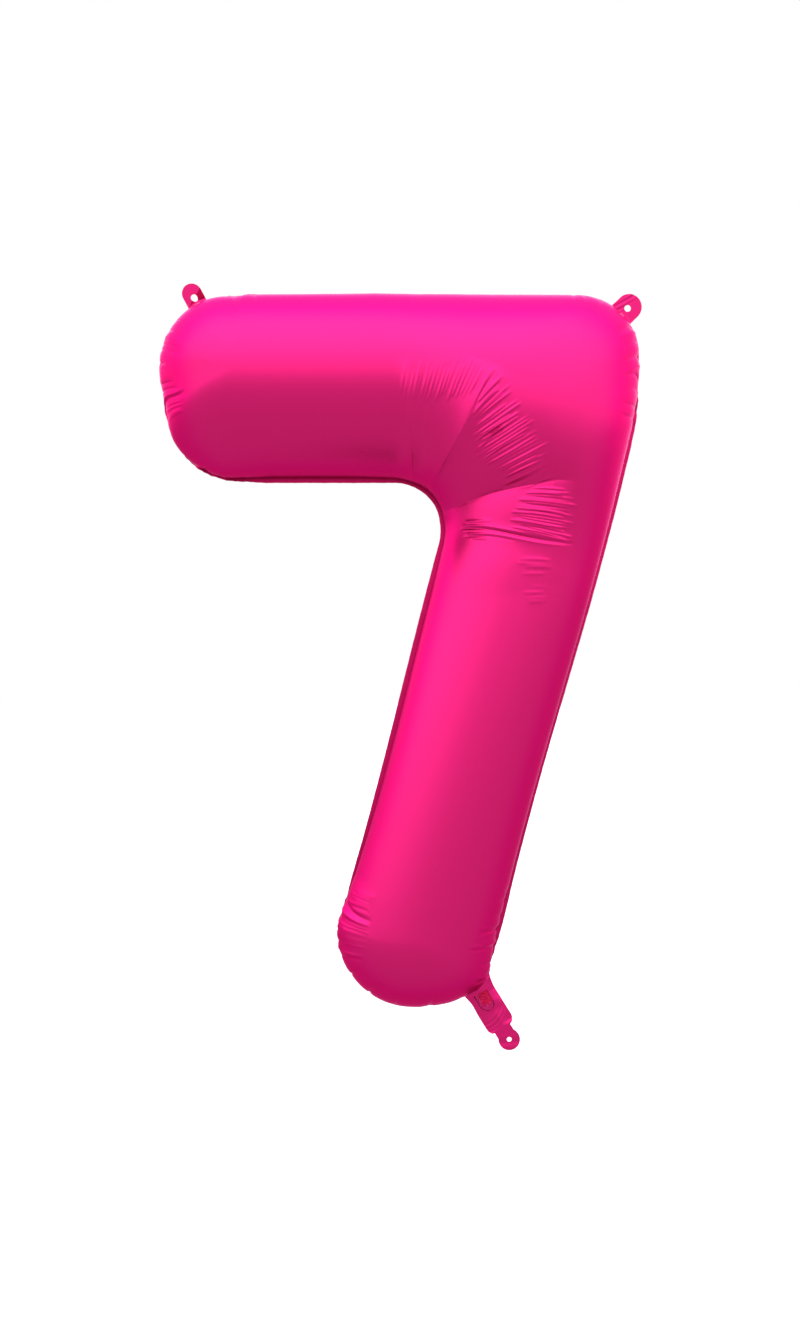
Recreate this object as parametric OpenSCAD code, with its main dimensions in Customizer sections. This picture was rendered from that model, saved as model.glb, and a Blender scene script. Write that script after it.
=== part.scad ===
// Foil number balloon, digit seven.
// Two foil sheets are heat-sealed along a flat rim and inflated. The rim grows into
// two hang tabs and a filling tail, and a flat self-sealing valve lies inside the tail.
// The seam plane is y = 0, the front sheet bulges towards -y and +z is up.
// The origin is the centre of the ribbon hole at the end of the tail.

/* [Digit outline] */
// Height of the digit from its lowest to its highest rim edge
digit_height = 860; // [600:10:1100]
// Length of the bar along its top edge, corners not yet rounded
bar_length = 596; // [484:4:720]
// Height of the bar from rim edge to rim edge
bar_height = 228; // [180:2:272]
// Width of the leg across its axis, from rim edge to rim edge
leg_width = 192; // [164:1:230]
// Angle of the leg from the vertical
leg_lean = 15; // [10:0.5:20]
// Angle of the bar's free end from the vertical
end_lean = 9.5; // [0:0.5:12]
// Straight drop of the right-hand edge, from the top edge to the shoulder
shoulder_drop = 143; // [110:1:180]
// Rounding of the bar's free end, top corner
end_top_r = 85; // [50:1:95]
// Rounding of the bar's free end, bottom corner
end_bottom_r = 84; // [50:1:88]
// Rounding of the crook, where bar and leg meet on the inside
crook_r = 58; // [35:1:70]
// Rounding of the foot under the crook
foot_inner_r = 86; // [50:1:98]
// Rounding of the foot beside the tail
foot_outer_r = 75; // [50:1:90]
// Rounding of the shoulder
shoulder_r = 200; // [120:5:240]
// Rounding of the top right corner
corner_r = 78; // [40:1:80]

/* [Foil and inflation] */
// Width of the heat-sealed rim
rim_width = 6; // [3:0.5:10]
// Thickness of one foil sheet
foil_ply = 0.3; // [0.2:0.05:0.5]
// Depth of the inflated bar, front to back
bar_depth = 208; // [150:1:260]
// Depth of the inflated leg, front to back
leg_depth = 176; // [130:1:230]
// Depth of the inflated corner over the crook, front to back
corner_depth = 244; // [180:1:300]

/* [Hang tabs] */
// Half the width of the left hang tab
left_tab_half = 12; // [10:0.5:16]
// Reach of the left hang tab past the centre of its hole
left_tab_tip = 17; // [16:0.5:20]
// Half the width of the right hang tab
right_tab_half = 15.5; // [12:0.5:17]
// Reach of the right hang tab past the centre of its hole
right_tab_tip = 17.5; // [17:0.5:20]
// Diameter of the hole in a hang tab
tab_hole_d = 8; // [5:0.5:11]
// Distance from the rim's edge to the centre of the left tab's hole
left_hole_reach = 6.5; // [6:0.1:9]
// Distance from the rim's edge to the centre of the right tab's hole
right_hole_reach = 9.6; // [6:0.1:12]
// Direction of the left hang tab, counter-clockwise from +x
left_tab_angle = 118; // [100:1:150]
// Direction of the right hang tab, counter-clockwise from +x
right_tab_angle = 44; // [30:1:60]

/* [Tail] */
// Angle of the tail from the vertical
tail_lean = 32; // [26:0.5:38]
// Length of the tail from the rim's edge to its ribbon hole
tail_length = 73; // [70:1:90]
// Width of the tail
tail_width = 34; // [30:1:44]
// Radius of the ribbon tab at the end of the tail
ribbon_tab_r = 13; // [10:0.5:16]
// Width of the ribbon tab where it joins the tail
ribbon_tab_neck = 20; // [14:1:24]
// Diameter of the ribbon hole
ribbon_hole_d = 6; // [4:0.5:8]
// Distance from the ribbon hole to the crease of the ribbon tab
ribbon_crease = 14.5; // [12:0.5:17]
// Distance from the ribbon hole to the crease under the filling inlet
tail_crease = 36; // [32:0.5:39]
// Rounding of the tail's shoulders
tail_shoulder_r = 8; // [3:1:9]

/* [Valve] */
// Width of the filling inlet cut in the front sheet
inlet_width = 18; // [12:1:20]
// Length of the filling inlet along the tail
inlet_length = 23; // [20:1:26]
// Distance from the crease to the inlet's lower lip
inlet_lip = 6; // [4:0.5:8]
// Width of the valve films
valve_width = 24; // [21:1:25]
// Length of the valve films beyond the rim, inside the balloon
valve_reach = 90; // [50:1:120]
// Distance from the inlet's lower lip to the valve films' open end
valve_mouth = 3; // [1:0.5:5]
// Thickness of one valve film
film_ply = 0.15; // [0.1:0.05:0.25]
// Thickness of the printed release strip
ink_ply = 0.05; // [0.04:0.01:0.1]
// Width of the printed release strip
ink_width = 15; // [10:1:18]
// Length of the printed release strip
ink_length = 52; // [45:1:70]
// Distance from the valve films' open end to the release strip
ink_start = 4; // [2:0.5:8]

/* [Hidden] */

foil_pink = [0.93, 0.12, 0.47];
seam_pink = [0.72, 0.07, 0.33];
film_clear = [0.86, 0.86, 0.9];
ink_red = [0.85, 0.15, 0.12];

arc_steps = 14;        // steps in each rounded corner
cap_steps = 34;        // spokes around each rounded end
bar_steps = 8;         // ribs along the bar
crook_steps = 24;      // ribs around the crook
leg_steps = 14;        // ribs along the leg
rise_steps = 11;       // steps from the rim up to the ridge
fold_gap = 0.05;       // clearance of a crease's round edge
tab_land = 0.8;        // how far a hang tab's root stands out of the rim
round_fn = 96;         // facets of a punched hole or a tab's edge
edge_fn = 32;          // facets of a crease's round edge
bite = 1;              // overlap of cutting shapes past what they cut

sealed_ply = 2 * foil_ply;
valve_gap = 2 * film_ply + ink_ply;
valve_half_gap = valve_gap / 2;
crease_r = sealed_ply / 2;
side_seal = (tail_width - valve_width) / 2 - 0.5;

// ---- the tail's own axis: s = 0 at the ribbon hole, growing towards the balloon
tail_up = [-sin(tail_lean), cos(tail_lean)];
foot_corner_turn = 90 + leg_lean;
foot_tangent = foot_outer_r / tan(foot_corner_turn / 2);

// The tail's root is the point of the outer foot rounding where the tail's axis crosses it.
tail_root_turn = -45;
foot_outer_c = tail_length * tail_up - foot_outer_r * [cos(tail_root_turn), sin(tail_root_turn)];
foot_z = foot_outer_c[1] - foot_outer_r;
foot_outer_v = [foot_outer_c[0] + foot_tangent, foot_z];

// ---- corners of the digit before rounding, counter-clockwise from the top left
top_z = foot_z + digit_height;
bar_bottom_z = top_z - bar_height;
right_x = foot_outer_v[0] + (digit_height - shoulder_drop) * tan(leg_lean);
left_x = right_x - bar_length;
leg_span = leg_width / cos(leg_lean);
corners = [
    [left_x, top_z],
    [left_x + bar_height * tan(end_lean), bar_bottom_z],
    [foot_outer_v[0] - leg_span + (bar_bottom_z - foot_z) * tan(leg_lean), bar_bottom_z],
    [foot_outer_v[0] - leg_span, foot_z],
    foot_outer_v,
    [right_x, top_z - shoulder_drop],
    [right_x, top_z],
];
radii = [end_top_r, end_bottom_r, crook_r, foot_inner_r, foot_outer_r, shoulder_r, corner_r];
END_TOP = 0;
END_BOTTOM = 1;
CROOK = 2;
FOOT_INNER = 3;
FOOT_OUTER = 4;
SHOULDER = 5;
CORNER = 6;

function unit(v) = v / norm(v);
function turn_to(a) = [cos(a), sin(a)];
function cross2(a, b) = a[0] * b[1] - a[1] * b[0];
function mix(a, b, t) = a + (b - a) * t;
function ease(t) = t * t * (3 - 2 * t);

function corner_in(i) = unit(corners[i] - corners[(i + len(corners) - 1) % len(corners)]);
function corner_out(i) = unit(corners[(i + 1) % len(corners)] - corners[i]);
// +1 where the outline turns left, -1 in the crook
function corner_side(i) = sign(cross2(corner_in(i), corner_out(i)));
function corner_sweep(i) = acos(corner_in(i) * corner_out(i));
function corner_centre(i) =
    corners[i] + unit(corner_out(i) - corner_in(i)) * radii[i] / cos(corner_sweep(i) / 2);
// points of one rounded corner, moved inwards by inset
function corner_arc(i, inset) =
    let (side = corner_side(i),
         first = atan2(-side * corner_in(i)[0], side * corner_in(i)[1]))
    [for (k = [0:arc_steps])
        corner_centre(i) + (radii[i] - side * inset)
            * turn_to(first + side * corner_sweep(i) * k / arc_steps)];
function outline(inset) = [for (i = [0:len(corners) - 1]) each corner_arc(i, inset)];

// ---- sampling a path at equal steps
function path_lengths(p, i = 0, total = 0, got = []) =
    i >= len(p) ? got
    : let (now = i == 0 ? 0 : total + norm(p[i] - p[i - 1]))
      path_lengths(p, i + 1, now, concat(got, [now]));
function span_at(lengths, d, i = 1) =
    i >= len(lengths) - 1 || lengths[i] >= d ? i : span_at(lengths, d, i + 1);
function sample(p, n) =
    let (lengths = path_lengths(p), total = lengths[len(p) - 1])
    [for (k = [0:n - 1])
        let (d = total * k / n, i = span_at(lengths, d))
        mix(p[i - 1], p[i], (d - lengths[i - 1]) / (lengths[i] - lengths[i - 1]))];

// ---- the ridge line over which both sheets reach their full depth
bar_mid_z = top_z - bar_height / 2;
leg_down = [-sin(leg_lean), -cos(leg_lean)];
leg_across = [cos(leg_lean), -sin(leg_lean)];
end_pole = [corner_centre(END_TOP)[0] + 20, bar_mid_z];
crook_c = corner_centre(CROOK);
bar_ridge_end = [crook_c[0], bar_mid_z];
leg_ridge_start = crook_c + leg_across * (crook_r + leg_width / 2);
foot_clear = (corner_centre(FOOT_INNER)[1] + 14 - leg_ridge_start[1]) / leg_down[1];
foot_pole = leg_ridge_start + leg_down * foot_clear;
ridge_swell = 46;      // how far the ridge swings out over the crook

function ridge_round(t) =
    let (reach = crook_r + mix(bar_height, leg_width, t) / 2 + ridge_swell * pow(sin(180 * t), 2))
    crook_c + reach * turn_to(90 - (90 + leg_lean) * t);
function crook_depth(t) =
    mix(bar_depth, leg_depth, ease(t))
    + (corner_depth - (bar_depth + leg_depth) / 2) * pow(sin(180 * t), 2);

// One entry per spoke, counter-clockwise: [rim point, ridge point, ridge number, half depth].
// Spokes that share a ridge number meet at one point of the ridge.
first_crook = bar_steps;
first_leg = first_crook + crook_steps;
ridge_count = first_leg + leg_steps + 1;

function above(p, inset) = [p[0], top_z - inset];
function below(p, inset) = [p[0], bar_bottom_z + inset];
function leg_left(p, inset) = p - leg_across * (leg_width / 2 - inset);
function leg_right(p, inset) = p + leg_across * (leg_width / 2 - inset);

function end_path(inset) = concat([above(end_pole, inset)], corner_arc(END_TOP, inset),
                                  corner_arc(END_BOTTOM, inset), [below(end_pole, inset)]);
function foot_path(inset) = concat([leg_left(foot_pole, inset)], corner_arc(FOOT_INNER, inset),
                                   corner_arc(FOOT_OUTER, inset), [leg_right(foot_pole, inset)]);
function crook_path(inset) = corner_arc(CROOK, inset);
function corner_path(inset) = concat([leg_right(leg_ridge_start, inset)], corner_arc(SHOULDER, inset),
                                     corner_arc(CORNER, inset), [above(bar_ridge_end, inset)]);

function spokes(inset) =
    let (end_rim = sample(end_path(inset), cap_steps),
         bar_low = sample([below(end_pole, inset), below(bar_ridge_end, inset)], bar_steps),
         crook_rim = sample(crook_path(inset), crook_steps),
         leg_in = sample([leg_left(leg_ridge_start, inset), leg_left(foot_pole, inset)], leg_steps),
         foot_rim = sample(foot_path(inset), cap_steps),
         leg_out = sample([leg_right(foot_pole, inset), leg_right(leg_ridge_start, inset)], leg_steps),
         corner_rim = sample(corner_path(inset), crook_steps),
         bar_high = sample([above(bar_ridge_end, inset), above(end_pole, inset)], bar_steps),
         bar_ridge = sample([end_pole, bar_ridge_end], bar_steps),
         leg_ridge = sample([leg_ridge_start, foot_pole], leg_steps))
    concat(
        [for (p = end_rim) [p, end_pole, 0, bar_depth / 2]],
        [for (k = [0:bar_steps - 1]) [bar_low[k], bar_ridge[k], k, bar_depth / 2]],
        [for (k = [0:crook_steps - 1])
            [crook_rim[k], ridge_round(k / crook_steps), first_crook + k,
             crook_depth(k / crook_steps) / 2]],
        [for (k = [0:leg_steps - 1]) [leg_in[k], leg_ridge[k], first_leg + k, leg_depth / 2]],
        [for (p = foot_rim) [p, foot_pole, ridge_count - 1, leg_depth / 2]],
        [for (k = [0:leg_steps - 1])
            [leg_out[k], k == 0 ? foot_pole : leg_ridge[leg_steps - k],
             ridge_count - 1 - k, leg_depth / 2]],
        [for (k = [0:crook_steps - 1])
            [corner_rim[k], ridge_round(1 - k / crook_steps), first_leg - k,
             crook_depth(1 - k / crook_steps) / 2]],
        [for (k = [0:bar_steps - 1])
            [bar_high[k], k == 0 ? bar_ridge_end : bar_ridge[bar_steps - k],
             first_crook - k, bar_depth / 2]]);

// Where the tail opens into the balloon the two sheets stay apart for the valve.
function tail_offset(p) = abs(cross2(tail_up, p));
function in_throat(p) = tail_offset(p) < tail_width / 2 && p * tail_up < tail_length + 3 * rim_width;
function rim_lift(p) = in_throat(p) ? valve_half_gap + fold_gap : 0;

// Points of one face of the inflated sheet; inner faces lie one ply further in.
function dome_points(rows, thin) = concat(
    [for (s = rows, j = [0:rise_steps - 1])
        let (a = 90 * j / rise_steps,
             flat = s[1] + (s[0] - s[1]) * cos(a),
             rise = (s[3] - thin) * sin(a))
        [flat[0], -max(rise, rim_lift(s[0])), flat[1]]],
    [for (r = [0:ridge_count - 1])
        let (s = [for (q = rows) if (q[2] == r) q][0])
        [s[1][0], -(s[3] - thin), s[1][1]]]);

function dome_index(rows, u, j) =
    let (w = u % len(rows))
    j < rise_steps ? w * rise_steps + j : len(rows) * rise_steps + rows[w][2];

// Triangles of one face, wound so that the outer face looks out of the balloon.
function dome_faces(rows, base, flip) =
    [for (u = [0:len(rows) - 1], j = [0:rise_steps - 1])
        let (a = base + dome_index(rows, u, j),
             b = base + dome_index(rows, u + 1, j),
             c = base + dome_index(rows, u + 1, j + 1),
             d = base + dome_index(rows, u, j + 1))
        each [flip ? [a, c, b] : [a, b, c], if (c != d) flip ? [a, d, c] : [a, c, d]]];

function rim_faces(rows, base) =
    [for (u = [0:len(rows) - 1])
        let (a = dome_index(rows, u, 0),
             b = dome_index(rows, u + 1, 0))
        each [[a, base + b, b], [a, base + a, base + b]]];

module inflated_sheet() {
    outer = spokes(rim_width);
    inner = spokes(rim_width + foil_ply);
    outer_points = dome_points(outer, 0);
    base = len(outer_points);
    polyhedron(
        points = concat(outer_points, dome_points(inner, foil_ply)),
        faces = concat(dome_faces(outer, 0, false), dome_faces(outer, base, true),
                       rim_faces(outer, base)));
}

// A flat layer drawn in the x-z plane, from y0 to y1.
module layer(y0, y1) {
    translate([0, y1, 0]) rotate([90, 0, 0]) linear_extrude(y1 - y0) children();
}

// The tail's own drawing plane: y grows along the tail from the ribbon hole.
module along_tail() {
    rotate(tail_lean) children();
}

module tail_strip(from, to, width) {
    along_tail() translate([-width / 2, from]) square([width, to - from]);
}

module digit_area(inset) {
    polygon(outline(inset));
}

throat_end = tail_length + 4 * rim_width;

module throat_area(width) {
    difference() {
        tail_strip(tail_crease + crease_r + fold_gap, throat_end, width);
        digit_area(rim_width);
    }
}

// ---- hang tabs
function tab_corner(left) = left ? END_TOP : CORNER;
function tab_angle(left) = left ? left_tab_angle : right_tab_angle;
function tab_half(left) = left ? left_tab_half : right_tab_half;
function tab_tip(left) = left ? left_tab_tip : right_tab_tip;
function hole_reach(left) = left ? left_hole_reach : right_hole_reach;
function tab_edge(left) = radii[tab_corner(left)];

// Draws in a tab's own plane: x grows away from the rim, starting on the rim's edge.
module at_tab(left) {
    translate(corner_centre(tab_corner(left)))
        rotate(tab_angle(left))
            translate([tab_edge(left), 0]) children();
}

module hang_tab(left) {
    half = tab_half(left);
    round_at = hole_reach(left) + tab_tip(left) - half;
    layer(-crease_r, crease_r) at_tab(left) difference() {
        union() {
            translate([round_at, 0]) circle(r = half, $fn = round_fn);
            translate([tab_land, -half]) square([round_at - tab_land, 2 * half]);
        }
        translate([tab_land - 2 * half, -2 * half]) square([2 * half, 4 * half]);
        translate([hole_reach(left), 0]) circle(d = tab_hole_d, $fn = round_fn);
    }
    tab_crease(left);
}

// The round edge on which a hang tab bends.
module tab_crease(left) {
    centre = corner_centre(tab_corner(left));
    translate([centre[0], 0, centre[1]]) rotate([0, -tab_angle(left), 0])
        translate([tab_edge(left) + tab_land, 0, 0])
            cylinder(r = crease_r, h = 2 * tab_half(left), center = true, $fn = edge_fn);
}

module tab_root(left) {
    at_tab(left) translate([-rim_width / 2, -tab_half(left)])
        square([rim_width / 2 + tab_land - crease_r - fold_gap, 2 * tab_half(left)]);
}

// ---- creases of the tail
module tail_knuckle(at, width) {
    rotate([0, -tail_lean, 0]) translate([0, 0, at]) rotate([0, 90, 0])
        cylinder(r = crease_r, h = width, center = true, $fn = edge_fn);
}

module half_space(front) {
    reach = tail_length;
    translate([-reach, front ? -reach : 0, -reach]) cube([2 * reach, reach, 2 * reach]);
}

module tail_ply(front) {
    layer(front ? -foil_ply : 0, front ? 0 : foil_ply) difference() {
        tail_strip(ribbon_crease + crease_r + fold_gap, tail_crease, tail_width);
        for (side = [-1, 1]) tail_shoulder_cut(side);
    }
    intersection() {
        tail_knuckle(tail_crease, tail_width);
        half_space(front);
    }
}

// Waste outside the rounded shoulder of the tail.
module tail_shoulder_cut(side) {
    low = ribbon_crease + crease_r + fold_gap;
    along_tail() translate([side * (tail_width / 2 - tail_shoulder_r), low + tail_shoulder_r])
        difference() {
            translate([side > 0 ? 0 : -tail_shoulder_r - bite, -tail_shoulder_r - bite])
                square(tail_shoulder_r + bite);
            circle(r = tail_shoulder_r, $fn = round_fn);
        }
}

// ---- nodes
module front_foil() {
    color(foil_pink) inflated_sheet();
}

module back_foil() {
    color(foil_pink) mirror([0, 1, 0]) inflated_sheet();
}

module seam_rim() {
    color(seam_pink) layer(-crease_r, crease_r) {
        difference() {
            union() {
                digit_area(0);
                tab_root(true);
                tab_root(false);
            }
            digit_area(rim_width);
            tail_strip(tail_crease, throat_end, tail_width);
        }
    }
}

module hang_tab_left() {
    color(foil_pink) hang_tab(true);
}

module hang_tab_right() {
    color(foil_pink) hang_tab(false);
}

inlet_low = tail_crease + inlet_lip;
module inlet() {
    along_tail() {
        translate([0, inlet_low + inlet_width / 2]) circle(d = inlet_width, $fn = round_fn);
        translate([-inlet_width / 2, inlet_low + inlet_width / 2])
            square([inlet_width, inlet_length - inlet_width / 2]);
    }
}

module throat_front_ply() {
    color(foil_pink) layer(-valve_half_gap - foil_ply, -valve_half_gap) difference() {
        throat_area(tail_width);
        inlet();
    }
}

module throat_back_ply() {
    color(foil_pink) layer(valve_half_gap, valve_half_gap + foil_ply) throat_area(tail_width);
}

module throat_side_seals() {
    color(seam_pink) layer(-valve_half_gap, valve_half_gap) difference() {
        throat_area(tail_width);
        tail_strip(0, throat_end + bite, tail_width - 2 * side_seal);
    }
}

valve_low = inlet_low + valve_mouth;
valve_high = tail_length + rim_width + valve_reach;
module valve_area() {
    tail_strip(valve_low, valve_high, valve_width);
}

module valve_film_front() {
    color(film_clear) layer(-valve_half_gap, -ink_ply / 2) valve_area();
}

module valve_film_back() {
    color(film_clear) layer(ink_ply / 2, valve_half_gap) valve_area();
}

module valve_release_strip() {
    color(ink_red) layer(-ink_ply / 2, ink_ply / 2)
        tail_strip(valve_low + ink_start, valve_low + ink_start + ink_length, ink_width);
}

module tail_front_ply() {
    color(foil_pink) tail_ply(true);
}

module tail_back_ply() {
    color(foil_pink) tail_ply(false);
}

module ribbon_tab() {
    color(foil_pink) {
        layer(-crease_r, crease_r) difference() {
            union() {
                circle(r = ribbon_tab_r, $fn = round_fn);
                tail_strip(0, ribbon_crease, ribbon_tab_neck);
            }
            circle(d = ribbon_hole_d, $fn = round_fn);
        }
        tail_knuckle(ribbon_crease, ribbon_tab_neck);
    }
}

front_foil();
back_foil();
seam_rim();
hang_tab_left();
hang_tab_right();
throat_front_ply();
throat_back_ply();
throat_side_seals();
valve_film_front();
valve_film_back();
valve_release_strip();
tail_front_ply();
tail_back_ply();
ribbon_tab();
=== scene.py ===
"""Looks of a foil number balloon, digit seven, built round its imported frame.

All sizes in the classes are millimetres in the row frame: x to the reader's right, z up, and
the front sheet bulges towards -y. Meshes are written in metres.
"""

import logging
import math
from collections.abc import Iterator
from contextlib import contextmanager
from dataclasses import dataclass
from enum import Enum

import bpy
import numpy as np
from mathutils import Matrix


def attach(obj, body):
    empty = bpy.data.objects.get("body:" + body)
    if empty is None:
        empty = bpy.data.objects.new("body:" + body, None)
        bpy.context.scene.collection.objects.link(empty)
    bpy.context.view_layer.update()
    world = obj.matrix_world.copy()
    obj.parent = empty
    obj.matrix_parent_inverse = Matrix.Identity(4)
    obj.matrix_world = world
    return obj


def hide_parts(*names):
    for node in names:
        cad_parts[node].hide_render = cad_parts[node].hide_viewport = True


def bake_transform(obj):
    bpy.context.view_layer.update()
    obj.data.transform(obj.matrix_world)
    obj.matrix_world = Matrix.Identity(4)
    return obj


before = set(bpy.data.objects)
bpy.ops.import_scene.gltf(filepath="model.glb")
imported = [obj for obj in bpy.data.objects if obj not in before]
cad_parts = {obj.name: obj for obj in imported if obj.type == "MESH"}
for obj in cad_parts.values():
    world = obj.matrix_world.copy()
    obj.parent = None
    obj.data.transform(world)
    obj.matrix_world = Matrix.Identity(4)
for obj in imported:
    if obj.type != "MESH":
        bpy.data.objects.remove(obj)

LOG = logging.getLogger("balloon")
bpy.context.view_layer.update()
MM = 0.001  # metres in a millimetre
MERGE = 2e-6  # metres; points nearer than this are one point
TINY = 1e-6  # below this a number counts as nothing
ENDLESS = 1e9  # millimetres; further than anything on the balloon
TAB_SPOKES = 121  # points round a tab's hole, the last one on the first
TAB_RINGS = 9  # rings of points from a tab's hole to its edge
SHARP_ANGLE = 40.0  # degrees; flat film is shaded with a hard edge past this


class Side(Enum):
    """Which of the two foil sheets; the value is the sign of its bulge along y."""

    FRONT = -1.0
    BACK = 1.0


class Crease(Enum):
    """How the film is bent along a crease."""

    VALLEY = "valley"
    RIDGE = "ridge"
    PEAK = "peak"
    FOLD = "fold"


# ---------------------------------------------------------------- finishes


@dataclass(frozen=True)
class Finish:
    """A tinted, partly matt metal, which every film and the ink are made from."""

    name: str
    colour: tuple[float, float, float] = (0.34, 0.0078, 0.08)
    metal: float = 0.95
    roughness: float = 0.36
    specular: float = 0.1
    alpha: float = 1.0

    def material(self) -> bpy.types.Material:
        """Builds the node material.

        Returns:
            The finished material.
        """
        made = bpy.data.materials.new(self.name)
        made.use_nodes = True
        inputs = made.node_tree.nodes["Principled BSDF"].inputs
        inputs["Base Color"].default_value = (*self.colour, 1.0)
        inputs["Metallic"].default_value = self.metal
        inputs["Roughness"].default_value = self.roughness
        inputs["Specular IOR Level"].default_value = self.specular
        inputs["Alpha"].default_value = self.alpha
        return made


@dataclass(frozen=True)
class FilmFinish(Finish):
    """Satin metallised film, paler where it is seen edge on, with a very fine grain."""

    edge_tint: tuple[float, float, float] = (0.74, 0.24, 0.46)
    grain: float = 0.05
    grain_scale: float = 900.0
    grain_detail: float = 2.0

    def material(self) -> bpy.types.Material:
        """Builds the node material, with the grain in its roughness.

        Returns:
            The finished material.
        """
        made = super().material()
        tree = made.node_tree
        shader = tree.nodes["Principled BSDF"]
        shader.inputs["Specular Tint"].default_value = (*self.edge_tint, 1.0)
        where = tree.nodes.new("ShaderNodeTexCoord")
        grain = tree.nodes.new("ShaderNodeTexNoise")
        grain.inputs["Scale"].default_value = self.grain_scale
        grain.inputs["Detail"].default_value = self.grain_detail
        spread = tree.nodes.new("ShaderNodeMapRange")
        spread.inputs["To Min"].default_value = self.roughness - self.grain
        spread.inputs["To Max"].default_value = self.roughness + self.grain
        tree.links.new(where.outputs["Object"], grain.inputs["Vector"])
        tree.links.new(grain.outputs["Fac"], spread.inputs["Value"])
        tree.links.new(spread.outputs["Result"], shader.inputs["Roughness"])
        return made


@dataclass(frozen=True)
class ClearFilmFinish(Finish):
    """Clear valve film, which shows little more than the red of the foil round it."""

    colour: tuple[float, float, float] = (0.5, 0.02, 0.13)
    metal: float = 1.0
    roughness: float = 0.4
    alpha: float = 0.12


@dataclass(frozen=True)
class InkFinish(Finish):
    """Dark red release ink on the foil."""

    colour: tuple[float, float, float] = (0.3, 0.003, 0.018)
    roughness: float = 0.5


# ---------------------------------------------------------------- outline of the digit


def unit(v: np.ndarray) -> np.ndarray:
    """Returns v at length 1."""
    return v / np.linalg.norm(v)


def turn_to(degrees: float) -> np.ndarray:
    """Returns the unit vector at an angle, counter-clockwise from +x."""
    return np.array([math.cos(math.radians(degrees)), math.sin(math.radians(degrees))])


def resample(path: np.ndarray, count: int) -> np.ndarray:
    """Spreads points evenly along a path, leaving out its last point.

    Args:
        path: points in order, one a row.
        count: how many points to return.

    Returns:
        The new points, one a row.
    """
    run = np.concatenate([[0], np.cumsum(np.linalg.norm(np.diff(path, axis=0), axis=1))])
    at = np.arange(count) / count * run[-1]
    return np.stack([np.interp(at, run, path[:, k]) for k in range(path.shape[1])], axis=1)


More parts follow.
